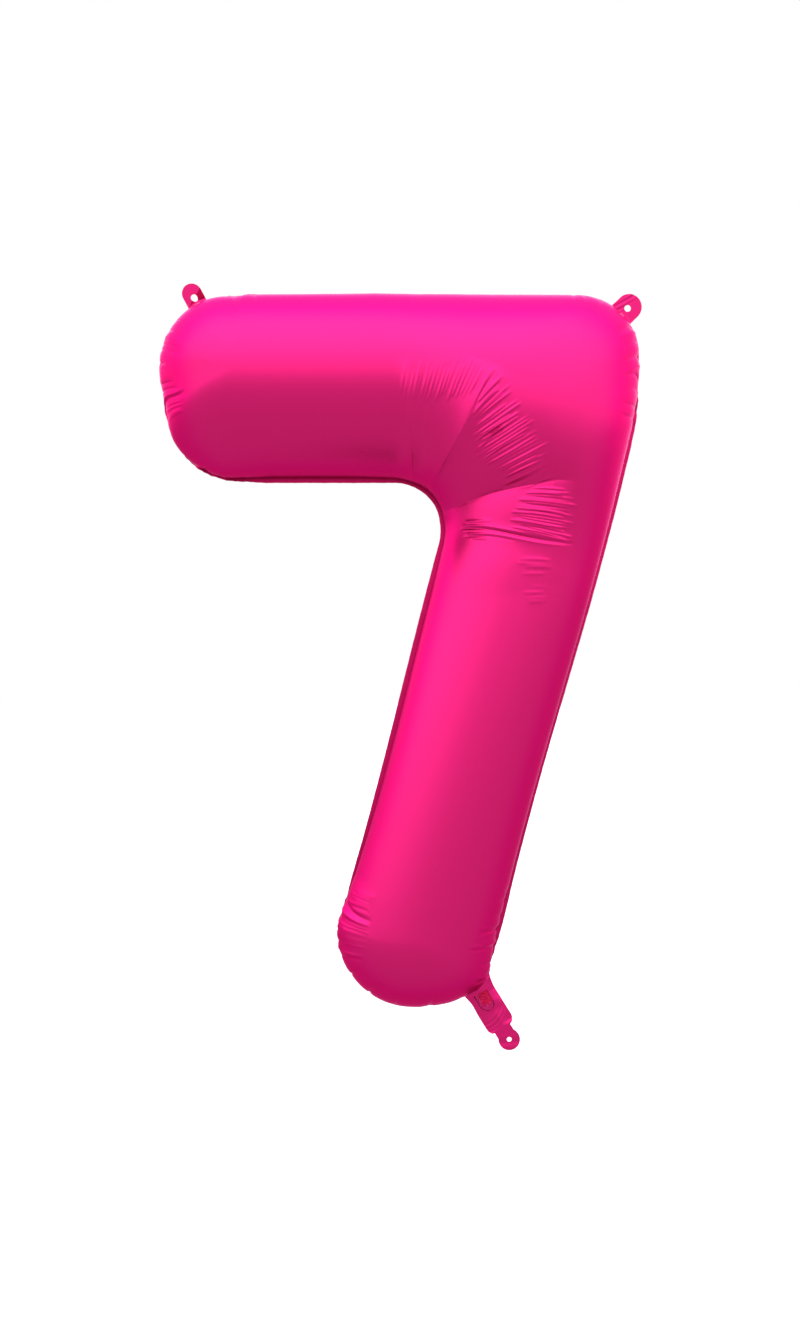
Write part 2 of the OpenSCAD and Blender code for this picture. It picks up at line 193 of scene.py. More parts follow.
@dataclass
class DigitOutline:
    """The digit's cut line and the ridge over which both sheets are deepest."""

    digit_height: float = 860.0
    bar_length: float = 596.0
    bar_height: float = 228.0
    leg_width: float = 192.0
    leg_lean: float = 15.0
    end_lean: float = 9.5
    shoulder_drop: float = 143.0
    radii: tuple[float, ...] = (85.0, 84.0, 58.0, 86.0, 75.0, 200.0, 78.0)
    tail_lean: float = 32.0
    tail_length: float = 73.0
    tail_root_turn: float = -45.0
    rim_width: float = 6.0
    bar_depth: float = 208.0
    leg_depth: float = 176.0
    corner_depth: float = 244.0
    ridge_swell: float = 46.0
    tuck: float = 2.5
    end_pole_in: float = 20.0
    foot_pole_up: float = 14.0
    swell: float = 2.6
    swell_low: float = 110.0
    swell_span: float = 640.0
    swell_left: float = 0.7
    swell_fade: float = 60.0
    end_steps: int = 210
    bar_steps: int = 90
    crook_steps: int = 230
    leg_steps: int = 175
    foot_steps: int = 180
    arc_steps: int = 60

    def __post_init__(self) -> None:
        """Works out the corners and the ridge's ends."""
        lean = math.radians(self.leg_lean)
        foot_r = self.radii[4]
        tangent = foot_r / math.tan(math.radians(45 + self.leg_lean / 2))
        self.tail_up = np.array(
            [-math.sin(math.radians(self.tail_lean)), math.cos(math.radians(self.tail_lean))]
        )
        foot_c = self.tail_length * self.tail_up - foot_r * turn_to(self.tail_root_turn)
        foot_z = foot_c[1] - foot_r
        foot_x = foot_c[0] + tangent
        self.foot_z = foot_z
        self.top_z = foot_z + self.digit_height
        self.bar_low_z = self.top_z - self.bar_height
        right_x = foot_x + (self.digit_height - self.shoulder_drop) * math.tan(lean)
        left_x = right_x - self.bar_length
        span = self.leg_width / math.cos(lean)
        self.corners = [
            np.array(c)
            for c in (
                (left_x, self.top_z),
                (left_x + self.bar_height * math.tan(math.radians(self.end_lean)), self.bar_low_z),
                (foot_x - span + (self.bar_low_z - foot_z) * math.tan(lean), self.bar_low_z),
                (foot_x - span, foot_z),
                (foot_x, foot_z),
                (right_x, self.top_z - self.shoulder_drop),
                (right_x, self.top_z),
            )
        ]
        self.down = np.array([-math.sin(lean), -math.cos(lean)])
        self.across = np.array([math.cos(lean), -math.sin(lean)])
        mid_z = self.top_z - self.bar_height / 2
        self.end_pole = np.array([self.centre(0)[0] + self.end_pole_in, mid_z])
        self.crook_c = self.centre(2)
        self.bar_ridge_end = np.array([self.crook_c[0], mid_z])
        self.leg_ridge_start = self.crook_c + self.across * (self.radii[2] + self.leg_width / 2)
        foot_pole_z = self.centre(3)[1] + self.foot_pole_up
        reach = (foot_pole_z - self.leg_ridge_start[1]) / self.down[1]
        self.foot_pole = self.leg_ridge_start + self.down * reach

    def way_in(self, i: int) -> np.ndarray:
        """Returns the direction of the edge that reaches corner i."""
        return unit(self.corners[i] - self.corners[i - 1])

    def way_out(self, i: int) -> np.ndarray:
        """Returns the direction of the edge that leaves corner i."""
        return unit(self.corners[(i + 1) % len(self.corners)] - self.corners[i])

    def sweep(self, i: int) -> float:
        """Returns the angle that corner i turns through, in degrees."""
        return math.degrees(math.acos(float(self.way_in(i) @ self.way_out(i))))

    def side(self, i: int) -> float:
        """Returns +1 where the outline turns left at corner i, and -1 where it turns right."""
        a, b = self.way_in(i), self.way_out(i)
        return math.copysign(1.0, a[0] * b[1] - a[1] * b[0])

    def centre(self, i: int) -> np.ndarray:
        """Returns the centre of corner i's rounding."""
        away = unit(self.way_out(i) - self.way_in(i))
        return self.corners[i] + away * self.radii[i] / math.cos(math.radians(self.sweep(i) / 2))

    def arc(self, i: int, inset: float) -> np.ndarray:
        """Lays points along a corner's rounding.

        Args:
            i: the corner's number.
            inset: how far inwards they are moved.

        Returns:
            The points, one a row.
        """
        s, a = self.side(i), self.way_in(i)
        first = math.degrees(math.atan2(-s * a[0], s * a[1]))
        turns = first + s * self.sweep(i) * np.linspace(0, 1, self.arc_steps + 1)
        return np.array([self.centre(i) + (self.radii[i] - s * inset) * turn_to(t) for t in turns])

    def ridge_round(self, t: np.ndarray) -> np.ndarray:
        """Lays the ridge over the crook, swung out past the middle of the film.

        Args:
            t: 0 at the bar to 1 at the leg.

        Returns:
            The ridge's points, one a row.
        """
        width = self.bar_height + (self.leg_width - self.bar_height) * t
        reach = self.radii[2] + width / 2 + self.ridge_swell * np.sin(np.pi * t) ** 2
        turn = np.radians(90 - (90 + self.leg_lean) * t)
        return self.crook_c + np.stack([np.cos(turn), np.sin(turn)], axis=1) * reach[:, None]

    def crook_depth(self, t: np.ndarray) -> np.ndarray:
        """Works out the balloon's depth over the crook.

        Args:
            t: 0 at the bar to 1 at the leg.

        Returns:
            The full depth, front to back.
        """
        ease = t * t * (3 - 2 * t)
        plain = self.bar_depth + (self.leg_depth - self.bar_depth) * ease
        extra = self.corner_depth - (self.bar_depth + self.leg_depth) / 2
        return plain + extra * np.sin(np.pi * t) ** 2

    def rim(self, inset: float) -> np.ndarray:
        """Works out the rim's point on every spoke.

        Args:
            inset: how far inwards the points are moved.

        Returns:
            The points, one a row.
        """
        half = self.leg_width / 2 - inset

        def above(p: np.ndarray) -> np.ndarray:
            """Returns the point of the top edge over p."""
            return np.array([p[0], self.top_z - inset])

        def below(p: np.ndarray) -> np.ndarray:
            """Returns the point of the bar's lower edge under p."""
            return np.array([p[0], self.bar_low_z + inset])

        def left(p: np.ndarray) -> np.ndarray:
            """Returns the point of the leg's left edge beside p."""
            return p - self.across * half

        def right(p: np.ndarray) -> np.ndarray:
            """Returns the point of the leg's right edge beside p."""
            return p + self.across * half

        start, foot = self.leg_ridge_start, self.foot_pole
        runs = (
            (np.vstack([above(self.end_pole), self.arc(0, inset), self.arc(1, inset),
                        below(self.end_pole)]), self.end_steps),
            (np.vstack([below(self.end_pole), below(self.bar_ridge_end)]), self.bar_steps),
            (self.arc(2, inset), self.crook_steps),
            (np.vstack([left(start), left(foot)]), self.leg_steps),
            (np.vstack([left(foot), self.arc(3, inset), self.arc(4, inset), right(foot)]),
             self.foot_steps),
            (np.vstack([right(foot), right(start)]), self.leg_steps),
            (np.vstack([right(start), self.arc(5, inset), self.arc(6, inset),
                        above(self.bar_ridge_end)]), self.crook_steps),
            (np.vstack([above(self.bar_ridge_end), above(self.end_pole)]), self.bar_steps),
        )
        return np.vstack([resample(path, count) for path, count in runs])

    def ridge(self) -> tuple[np.ndarray, np.ndarray]:
        """Works out where each spoke meets the ridge.

        Returns:
            The ridge point of every spoke and the half depth there.
        """
        bar = resample(np.vstack([self.end_pole, self.bar_ridge_end]), self.bar_steps)
        leg = resample(np.vstack([self.leg_ridge_start, self.foot_pole]), self.leg_steps)
        t = np.arange(self.crook_steps) / self.crook_steps
        back = np.vstack([self.foot_pole, leg[:0:-1]])
        bar_back = np.vstack([self.bar_ridge_end, bar[:0:-1]])
        points = np.vstack([
            np.repeat(self.end_pole[None], self.end_steps, 0), bar, self.ridge_round(t), leg,
            np.repeat(self.foot_pole[None], self.foot_steps, 0), back,
            self.ridge_round(1 - t), bar_back,
        ])
        flat = np.ones
        depth = np.concatenate([
            flat(self.end_steps + self.bar_steps) * self.bar_depth, self.crook_depth(t),
            flat(2 * self.leg_steps + self.foot_steps) * self.leg_depth,
            self.crook_depth(1 - t), flat(self.bar_steps) * self.bar_depth,
        ])
        return points, depth / 2


# ---------------------------------------------------------------- mesh helpers


def deselect() -> None:
    """Leaves every object unselected, out of edit mode."""
    if bpy.context.object and bpy.context.object.mode != "OBJECT":
        bpy.ops.object.mode_set(mode="OBJECT")
    bpy.ops.object.select_all(action="DESELECT")


def only(obj: bpy.types.Object) -> None:
    """Makes one object the only selected and active one.

    Args:
        obj: the object.
    """
    deselect()
    obj.select_set(True)
    bpy.context.view_layer.objects.active = obj


@contextmanager
def opened(obj: bpy.types.Object, action: str | None = "SELECT") -> Iterator[None]:
    """Opens obj in edit mode, and closes it again afterwards.

    Args:
        obj: the object.
        action: SELECT for all of it, DESELECT for none, or None to leave what is selected.

    Yields:
        Nothing.
    """
    only(obj)
    bpy.ops.object.mode_set(mode="EDIT")
    if action:
        bpy.ops.mesh.select_all(action=action)
    yield
    bpy.ops.object.mode_set(mode="OBJECT")


def grid_object(name: str, points: np.ndarray) -> bpy.types.Object:
    """Adds a grid primitive and shapes it to a table of points.

    Args:
        name: the piece's name.
        points: millimetres, indexed by column, row and axis.

    Returns:
        The new object, with doubled points merged.
    """
    columns, rows = points.shape[:2]
    deselect()
    bpy.ops.mesh.primitive_grid_add(
        x_subdivisions=columns - 1, y_subdivisions=rows - 1, size=2, location=(0, 0, 0)
    )
    obj = bpy.context.object
    obj.name = obj.data.name = name
    mesh = obj.data
    flat = np.zeros(len(mesh.vertices) * 3, np.float32)
    mesh.vertices.foreach_get("co", flat)
    flat = flat.reshape(-1, 3)
    i = np.rint((flat[:, 0] + 1) / 2 * (columns - 1)).astype(int)
    j = np.rint((flat[:, 1] + 1) / 2 * (rows - 1)).astype(int)
    mesh.vertices.foreach_set("co", (points[i, j] * MM).astype(np.float32).ravel())
    mesh.update()
    with opened(obj):
        bpy.ops.mesh.remove_doubles(threshold=MERGE)
    return obj


def flip_faces(obj: bpy.types.Object) -> None:
    """Turns every face of obj over."""
    with opened(obj):
        bpy.ops.mesh.flip_normals()


def face_outwards(obj: bpy.types.Object) -> None:
    """Turns the faces of a closed mesh to point outwards."""
    with opened(obj):
        bpy.ops.mesh.normals_make_consistent(inside=False)


def thicken(obj: bpy.types.Object, thickness: float) -> None:
    """Gives a sheet its thickness, half of it on each side.

    Args:
        obj: the sheet.
        thickness: millimetres.
    """
    only(obj)
    wall = obj.modifiers.new("wall", "SOLIDIFY")
    wall.thickness = thickness * MM
    wall.offset = 0.0
    bpy.ops.object.modifier_apply(modifier=wall.name)


def soften(obj: bpy.types.Object) -> None:
    """Shades obj smooth, but for its sharp edges."""
    only(obj)
    bpy.ops.object.shade_smooth_by_angle(angle=math.radians(SHARP_ANGLE))


def film_object(name: str, flat: np.ndarray, y: np.ndarray, thickness: float) -> bpy.types.Object:
    """Builds a piece of flat film.

    Args:
        name: the piece's name.
        flat: (x, z) of every point, indexed by column and row.
        y: how far each point stands out of the seam plane.
        thickness: the film's thickness.

    Returns:
        The new object.
    """
    obj = grid_object(name, np.stack([flat[..., 0], y, flat[..., 1]], axis=2))
    thicken(obj, thickness)
    face_outwards(obj)
    return obj


def ring_grid(hole_r: float, reach: np.ndarray, turns: np.ndarray) -> tuple[np.ndarray, ...]:
    """Lays rings of points round a hole, from its edge out to the edge of the film.

    Args:
        hole_r: the hole's radius.
        reach: from the hole's centre to the film's edge, for each direction.
        turns: the directions.

    Returns:
        Each point's place along direction 0 and across it, by direction and ring.
    """
    share = np.linspace(0, 1, TAB_RINGS)
    r = hole_r + (reach[:, None] - hole_r) * share[None]
    return r * np.cos(turns)[:, None], r * np.sin(turns)[:, None]


def dress(obj: bpy.types.Object, finish: bpy.types.Material) -> None:
    """Gives a piece its finish.

    Args:
        obj: the piece.
        finish: its one material.
    """
    obj.data.materials.clear()
    obj.data.materials.append(finish)


def waves(at: np.ndarray, lengths: tuple[float, ...], seed: int) -> np.ndarray:
    """Mixes waves into a smooth wandering line.

    Args:
        at: where along the line, in millimetres.
        lengths: the wavelengths that are mixed.
        seed: picks one of many such lines.

    Returns:
        The line's heights, between about -1 and 1.
    """
    phases = np.random.default_rng(seed).uniform(0, 2 * np.pi, len(lengths))
    parts = [np.sin(2 * np.pi * at / w + p) for w, p in zip(lengths, phases)]
    return np.sum(parts, axis=0) / math.sqrt(len(lengths))


# ---------------------------------------------------------------- creases in the film


def spike(t: np.ndarray, blunt: float, fall: float = 1.0) -> np.ndarray:
    """Returns a narrow peak that falls away on both sides; blunt rounds its tip."""
    return np.exp(blunt - np.sqrt(t * t + blunt * blunt) * fall)


@dataclass(frozen=True)
class Stroke:
    """One crease: its kind, height, width, whether it starts at the rim, and its (x, z) points."""

    kind: Crease
    height: float
    width: float
    from_rim: bool
    points: tuple[tuple[float, float], ...]
    reach: float = 4.0
    blunt: float = 0.15
    fold_blunt: float = 0.2
    valley_depth: float = 1.12
    valley_lip: float = 0.12
    valley_fall: float = 1.3
    rim_taper: float = 0.8
    end_taper: float = 0.6

    def profile(self, off: np.ndarray, along: np.ndarray) -> np.ndarray:
        """Works out how far the film is moved outwards.

        Args:
            off: signed distance from the crease.
            along: share of the crease's length, 0 to 1.

        Returns:
            The movement, millimetres.
        """
        if self.from_rim:
            ends = np.clip(np.cos(np.pi / 2 * np.clip(along, 0, 1)), 0, 1) ** self.rim_taper
        else:
            ends = np.clip(np.sin(np.pi * np.clip(along, 0, 1)), 0, 1) ** self.end_taper
        t = off / self.width
        if self.kind is Crease.VALLEY:
            shape = self.valley_lip - spike(t, self.blunt, self.valley_fall) * self.valley_depth
        elif self.kind is Crease.RIDGE:
            shape = np.exp(-t * t)
        elif self.kind is Crease.PEAK:
            shape = spike(t, self.blunt)
        else:
            shape = -spike(t, self.fold_blunt)
        return self.height * ends * shape


@dataclass(frozen=True)
class Fan:
    """A row of fine creases between two lines."""

    start: tuple[tuple[float, float], ...]
    end: tuple[tuple[float, float], ...]
    count: int
    height: float
    width: float
    seed: int
    keep: float = 0.9
    steps: int = 200
    slip: float = 0.22
    late_start: float = 0.28
    early_end: float = 0.2
    weakest: float = 0.45
    bow: float = 0.02
    widths: tuple[float, float] = (0.8, 1.25)

    def strokes(self, seed_step: int = 0) -> list[Stroke]:
        """Works out the fan's creases, each a little different.

        Args:
            seed_step: picks another set of the same fan.

        Returns:
            The creases.
        """
        rng = np.random.default_rng(self.seed + seed_step)
        first = resample(np.array(self.start + (self.start[-1],), float), self.steps)
        last = resample(np.array(self.end + (self.end[-1],), float), self.steps)
        made = []
        for k in range(self.count):
            at = (k + 0.5 + rng.uniform(-self.slip, self.slip)) / self.count
            place = int(at * (self.steps - 1))
            a, b = first[place], last[place]
            lo = rng.uniform(0.0, self.late_start)
            hi = 1 - rng.uniform(0.0, self.early_end)
            strength = rng.uniform(self.weakest, 1.0)
            if rng.random() > self.keep:
                continue
            p, q = a + (b - a) * lo, a + (b - a) * hi
            side = np.array([-(q - p)[1], (q - p)[0]])
            mid = (p + q) / 2 + side * rng.uniform(-self.bow, self.bow)
            line = tuple(tuple(float(v) for v in w) for w in (p, mid, q))
            width = self.width * rng.uniform(*self.widths)
            made.append(Stroke(Crease.RIDGE, self.height * strength, width, False, line))
        return made


@dataclass(frozen=True)
class PuckerRow:
    """Gathers that run inwards from the rim, where the cut line is rounded."""

    start: float
    stop: float
    spacing: float
    length: float
    height: float
    seed: int
    fade: float = 40.0
    first_gap: tuple[float, float] = (0.3, 0.8)
    gaps: tuple[float, float] = (0.55, 1.5)
    heights: tuple[float, float] = (0.35, 1.0)
    lengths: tuple[float, float] = (0.4, 1.3)
    widths: tuple[float, float] = (0.12, 0.2)
    drift: float = 0.12
    widening: float = 0.05
    blunt: float = 0.2
    fall: float = 1.5
    end_power: float = 1.4
    rim_gap: float = 1.5
    rim_rise: float = 3.0

    def depth(self, s: np.ndarray, r: np.ndarray) -> np.ndarray:
        """Works out the movement of the film.

        Args:
            s: distance along the rim.
            r: distance from the rim.

        Returns:
            The movement outwards.
        """
        rng = np.random.default_rng(self.seed)
        out = np.zeros_like(r)
        fade = (np.clip((s - self.start) / self.fade, 0, 1)
                * np.clip((self.stop - s) / self.fade, 0, 1))
        rise = 1 - np.exp(-(r + self.rim_gap) / self.rim_rise)
        at = self.start + self.spacing * rng.uniform(*self.first_gap)
        while at < self.stop:
            high = self.height * rng.uniform(*self.heights)
            length = self.length * rng.uniform(*self.lengths)
            wide = self.spacing * rng.uniform(*self.widths)
            drift = rng.uniform(-self.drift, self.drift)
            t = (s + drift * r - at) / (wide + self.widening * r)
            fold = np.exp(-np.sqrt(t * t + self.blunt**2) * self.fall)
            out -= high * rise * fold * np.exp(-((r / length) ** self.end_power))
            at += self.spacing * rng.uniform(*self.gaps)
        return out * np.sqrt(fade)


# ---------------------------------------------------------------- the two inflated sheets


@dataclass
class InflatedSheet:
    """One foil sheet, blown up to its round shape, with its creases."""

    outline: DigitOutline
    side: Side
    strokes: list[Stroke]
    puckers: list[PuckerRow]
    stride: int = 2
    rise_steps: int = 44
    table_steps: int = 60
    roundness: float = 1.06
    path_steps: int = 16
    fine_width: float = 4.0
    fine_reaches: tuple[float, float] = (2.2, 1.2)
    pillow_step: int = 15
    pillow: tuple[float, ...] = (
        0.0, 0.3, 0.3, 0.4, 1.4, 4.0, 7.5, 10.0, 8.6, 8.8, 9.6, 8.2, 6.2, 6.8, 4.0, 0.5,
        0.5, 0.3, 0.4, 1.1, 2.4, 3.4, 3.5, 3.1, 2.6, 2.5, 2.3, 2.4, 2.6, 2.6, 2.5, 2.4,
        2.2, 2.2, 2.1, 2.0, 0.8, 0.0, 0.0, 0.0, 0.0, 0.1, 0.5, 0.9, 1.8, 3.2, 4.5, 10.0,
        15.0, 10.6, 8.0, 6.2, 5.8, 6.4, 7.0, 3.8, 4.0, 10.0, 8.5, 2.6, 1.0, 2.0, 2.1, 2.2,
        2.3, 2.5, 2.6, 2.3, 2.2, 2.2, 2.1, 1.8, 1.5, 0.9, 0.5, 0.2, 1.2, 5.8, 6.2, 3.6,
        1.6, 1.3, 1.9, 2.6, 3.7, 4.3, 3.3, 1.9, 1.3, 1.0, 0.6, 0.4, 0.0)
    pillow_reach: float = 46.0
    pillow_rise: float = 7.0
    rim_hold: tuple[float, float] = (0.3, 0.7)
    deepest: tuple[float, float] = (0.55, 0.2)
    seam_wave: float = 1.3
    seam_fade: float = 14.0
    seam_gap: float = 0.15

    def __post_init__(self) -> None:
        """Lays out the spokes from the rim to the ridge."""
        ridge, half = self.outline.ridge()
        self.rim_line = closed(shaped_rim(self.outline, self.outline.rim_width))
        self.ridge_line, self.half = closed(ridge), closed(half)
        self.count = len(ridge)

    def spot(self, u: np.ndarray, v: np.ndarray) -> np.ndarray:
        """Finds points of the smooth sheet.

        Args:
            u: spoke numbers, whole or not.
            v: 0 at the rim to 1 at the ridge.

        Returns:
            The points, with x, y and z last.
        """
        u = np.mod(u, self.count)
        at = np.arange(self.count + 1)
        rim, ridge = ([np.interp(u, at, line[:, k]) for k in (0, 1)]
                      for line in (self.rim_line, self.ridge_line))
        a = np.clip(v, 0, 1) ** self.roundness * np.pi / 2
        low, high = np.cos(a), np.sin(a)
        x = ridge[0] + (rim[0] - ridge[0]) * low
        z = ridge[1] + (rim[1] - ridge[1]) * low
        return np.stack([x, self.side.value * np.interp(u, at, self.half) * high, z], axis=-1)

    def normal(self, u: np.ndarray, v: np.ndarray) -> np.ndarray:
        """Finds the outward normals of the smooth sheet.

        Args:
            u: spoke numbers, whole or not.
            v: 0 at the rim to 1 at the ridge.

        Returns:
            The normals, with x, y and z last.
        """
        beside, smallest = 1.5, 1e-5

        def crossed(at: np.ndarray, step: float) -> np.ndarray:
            """Returns the sheet's unscaled normal at height at, taken over a step."""
            along = self.spot(u + beside, at) - self.spot(u - beside, at)
            return np.cross(along, self.spot(u, at + step) - self.spot(u, at - step))

        n = crossed(v, 0.004)
        size = np.linalg.norm(n, axis=-1, keepdims=True)
        level = np.array((0.0, self.side.value, 0.0))
        n = np.where(size > smallest, n / np.maximum(size, 1e-9), level)
        wrong = (crossed(np.full_like(v, 0.5), 0.01) @ level < 0) & (size[..., 0] > smallest)
        return np.where(wrong[..., None], -n, n)

    def base(self) -> tuple[np.ndarray, np.ndarray]:
        """Tabulates the smooth sheet.

        Returns:
            Points, by spoke and by step from the rim, and each one's distance from the rim.
        """
        rows = np.linspace(0, 1, self.table_steps + 1)
        u, v = np.meshgrid(np.arange(self.count + 1), rows, indexing="ij")
        points = self.spot(u, v)
        step = np.linalg.norm(np.diff(points, axis=1), axis=2)
        run = np.concatenate([np.zeros((len(u), 1)), np.cumsum(step, axis=1)], axis=1)
        return points, run

    def lift(self, path: np.ndarray, cloud: np.ndarray) -> np.ndarray:
        """Lays a path drawn in the seam plane on the sheet.

        Args:
            path: (x, z) rows.
            cloud: points of the smooth sheet.

        Returns:
            The path's points on the sheet.
        """
        nearest, softest = 4, 1e-3
        found = []
        for p in path:
            d = (cloud[:, 0] - p[0]) ** 2 + (cloud[:, 2] - p[1]) ** 2
            k = np.argpartition(d, nearest)[:nearest]
            w = 1 / (d[k] + softest)
            found.append((p[0], float(np.sum(cloud[k, 1] * w) / np.sum(w)), p[1]))
        return np.array(found)

    def paths(self, cloud: np.ndarray) -> list[np.ndarray]:
        """Lays every stroke's line on the sheet.

        Args:
            cloud: points of the smooth sheet.

        Returns:
            Each line's points.
        """
        made = []
        for stroke in self.strokes:
            drawn = np.array(stroke.points + (stroke.points[-1],), float)
            path = resample(drawn, self.path_steps)
            made.append(self.lift(smooth_path(np.vstack([path, stroke.points[-1]])), cloud))
        return made

    def crease(self, cloud: np.ndarray, facing: np.ndarray, paths: list[np.ndarray]) -> np.ndarray:
        """Works out how far the strokes move each point outwards.

        Args:
            cloud: points of the smooth sheet.
            facing: the outward normals there.
            paths: every stroke's line on the sheet.

        Returns:
            One movement for each point.
        """
        margin, fading = 2.0, 0.3
        out = np.zeros(len(cloud))
        for stroke, path in zip(self.strokes, paths):
            far = stroke.width * stroke.reach + margin
            at = np.flatnonzero(close_to(cloud, path, far))
            if not len(at):
                continue
            off, along = distance_to(cloud[at], facing[at], path)
            fade = np.clip((far - np.abs(off)) / (fading * far), 0, 1)
            out[at] += stroke.profile(off, along) * fade
        return out

    def refine(self, obj: bpy.types.Object, paths: list[np.ndarray], reach: float) -> None:
        """Splits the faces near the fine creases.

        Args:
            obj: the sheet.
            paths: every stroke's line on the sheet.
            reach: how near, in widths of the crease.
        """
        margin, spare = 1.0, 0.05
        with opened(obj, "DESELECT"):
            bpy.ops.mesh.select_mode(type="FACE")
        faces = obj.data.polygons
        centres = np.zeros(len(faces) * 3)
        faces.foreach_get("center", centres)
        centres = centres.reshape(-1, 3) / MM
        chosen = np.zeros(len(faces), bool)
        for stroke, path in zip(self.strokes, paths):
            if stroke.width > self.fine_width:
                continue
            far = stroke.width * reach + margin
            at = np.flatnonzero(close_to(centres, path, far))
            if len(at):
                off, along = distance_to(centres[at], np.zeros((len(at), 3)) + (0, 1, 0), path)
                inside = (np.abs(off) < far) & (along > -spare) & (along < 1 + spare)
                chosen[at[inside]] = True
        faces.foreach_set("select", chosen)
        with opened(obj, None):
            bpy.ops.mesh.subdivide(number_cuts=1, smoothness=0, ngon=False)

    def places(self, obj: bpy.types.Object) -> tuple[np.ndarray, np.ndarray]:
        """Reads where on the sheet each vertex lies, and drops the layer that held it.

        Args:
            obj: the sheet.

        Returns:
            The vertices' spoke numbers, and their places from 0 at the rim to 1 at the ridge.
        """
        mesh = obj.data
        corner = np.zeros(len(mesh.loops), int)
        mesh.loops.foreach_get("vertex_index", corner)
        layer = np.zeros(len(mesh.loops) * 2)
        mesh.uv_layers[0].data.foreach_get("uv", layer)
        spots = np.zeros((len(mesh.vertices), 2))
        spots[corner] = layer.reshape(-1, 2)
        mesh.uv_layers.remove(mesh.uv_layers[0])
        return spots[:, 0] * self.count, spots[:, 1]

    def build(self, name: str) -> bpy.types.Object:
        """Builds the sheet's mesh.

        Args:
            name: the piece's name.

        Returns:
            The new object.
        """
        table, run_table = self.base()
        cloud = table[::2, ::2].reshape(-1, 3)
        paths = self.paths(cloud)
        u, v = np.meshgrid(
            np.arange(0, self.count + 1, self.stride), np.linspace(0, 1, self.rise_steps + 1),
            indexing="ij",
        )
        obj = grid_object(name, self.spot(u, v))
        for reach in self.fine_reaches:
            self.refine(obj, paths, reach)
        u, v = self.places(obj)
        points, facing = self.spot(u, v), self.normal(u, v)
        run = self.read(run_table, u, v)
        at = np.arange(self.count + 1)
        rim_s = rim_run(self.rim_line[:-1])
        s = np.interp(u, at, np.append(rim_s, rim_s[-1] + 1))
        move = self.crease(points, facing, paths)
        for row in self.puckers:
            move += row.depth(s, run)
        plump = np.interp(u, np.arange(len(self.pillow)) * self.pillow_step, self.pillow)
        plump *= np.exp(-((run / self.pillow_reach) ** 2))
        move += plump * (1 - np.exp(-run / self.pillow_rise))
        move *= 1 - np.exp(-(run + self.rim_hold[0]) / self.rim_hold[1])
        move = np.maximum(move, -self.deepest[0] * np.abs(points[:, 1]) - self.deepest[1])
        points = points + facing * move[:, None]
        sway = np.interp(u, at[:-1], seam_sway(self.outline, rim_s))
        points[:, 1] += sway * self.seam_wave * np.exp(-run / self.seam_fade)
        points[:, 1] -= self.side.value * self.seam_gap * (run < TINY)
        obj.data.vertices.foreach_set("co", (points * MM).astype(np.float32).ravel())
        obj.data.update()
        if self.side is Side.FRONT:
            flip_faces(obj)
        only(obj)
        bpy.ops.object.shade_smooth()
        return obj

    def read(self, table: np.ndarray, u: np.ndarray, v: np.ndarray) -> np.ndarray:
        """Reads a table of the smooth sheet between its spokes and steps.

        Args:
            table: values by spoke and by step from the rim.
            u: spoke numbers, whole or not.
            v: 0 at the rim to 1 at the ridge.

        Returns:
            One value for each pair of u and v.
        """
        steps = self.table_steps
        i = np.clip(np.floor(u).astype(int), 0, self.count - 1)
        j = np.clip(np.floor(v * steps).astype(int), 0, steps - 1)
        fi, fj = u - i, v * steps - j
        return ((1 - fi) * ((1 - fj) * table[i, j] + fj * table[i, j + 1])
                + fi * ((1 - fj) * table[i + 1, j] + fj * table[i + 1, j + 1]))


def closed(table: np.ndarray) -> np.ndarray:
    """Returns a table with its first row again at its end."""
    return np.concatenate([table, table[:1]])


def close_to(cloud: np.ndarray, path: np.ndarray, far: float) -> np.ndarray:
    """Returns which points lie inside the path's box, widened by far."""
    return np.all((cloud > path.min(axis=0) - far) & (cloud < path.max(axis=0) + far), axis=1)


def smooth_path(path: np.ndarray) -> np.ndarray:
    """Rounds the bends of a path, keeping its ends.

    Args:
        path: points in order, one a row.

    Returns:
        The rounded path.
    """
    passes = 6
    out = path.copy()
    for _ in range(passes):
        out[1:-1] = (out[:-2] + 2 * out[1:-1] + out[2:]) / 4
    return out


def distance_to(
    cloud: np.ndarray, facing: np.ndarray, path: np.ndarray
) -> tuple[np.ndarray, np.ndarray]:
    """Measures points against a path.

    Args:
        cloud: the points.
        facing: the surface's normal at each point.
        path: the path's points, in order.

    Returns:
        Signed distances from the path, and how far along it, 0 to 1.
    """
    past_end = 9.0
    best = np.full(len(cloud), ENDLESS)
    off, along = np.zeros(len(cloud)), np.zeros(len(cloud))
    run = np.concatenate([[0], np.cumsum(np.linalg.norm(np.diff(path, axis=0), axis=1))])
    for k in range(len(path) - 1):
        a, d = path[k], path[k + 1] - path[k]
        length = np.linalg.norm(d) + 1e-9
        t = (cloud - a) @ d / length**2
        low = 0.0 if k else -past_end
        high = 1.0 if k < len(path) - 2 else past_end
        t = np.clip(t, low, high)
        gap = cloud - (a + t[:, None] * d)
        gap_length = np.linalg.norm(gap, axis=1)
        closer = gap_length < best
        best[closer] = gap_length[closer]
        side = np.einsum("ij,ij->i", gap, np.cross(facing, d / length))
        off[closer] = (np.sign(side) * gap_length)[closer]
        along[closer] = ((run[k] + t * length) / run[-1])[closer]
    return off, along


def soft_window(k: np.ndarray, first: float, last: float, fade: float) -> np.ndarray:
    """Returns 1 between first and last, easing to 0 over a fade at both ends."""
    t = np.clip(np.minimum(k - first, last - k) / fade, 0, 1)
    return t * t * (3 - 2 * t)


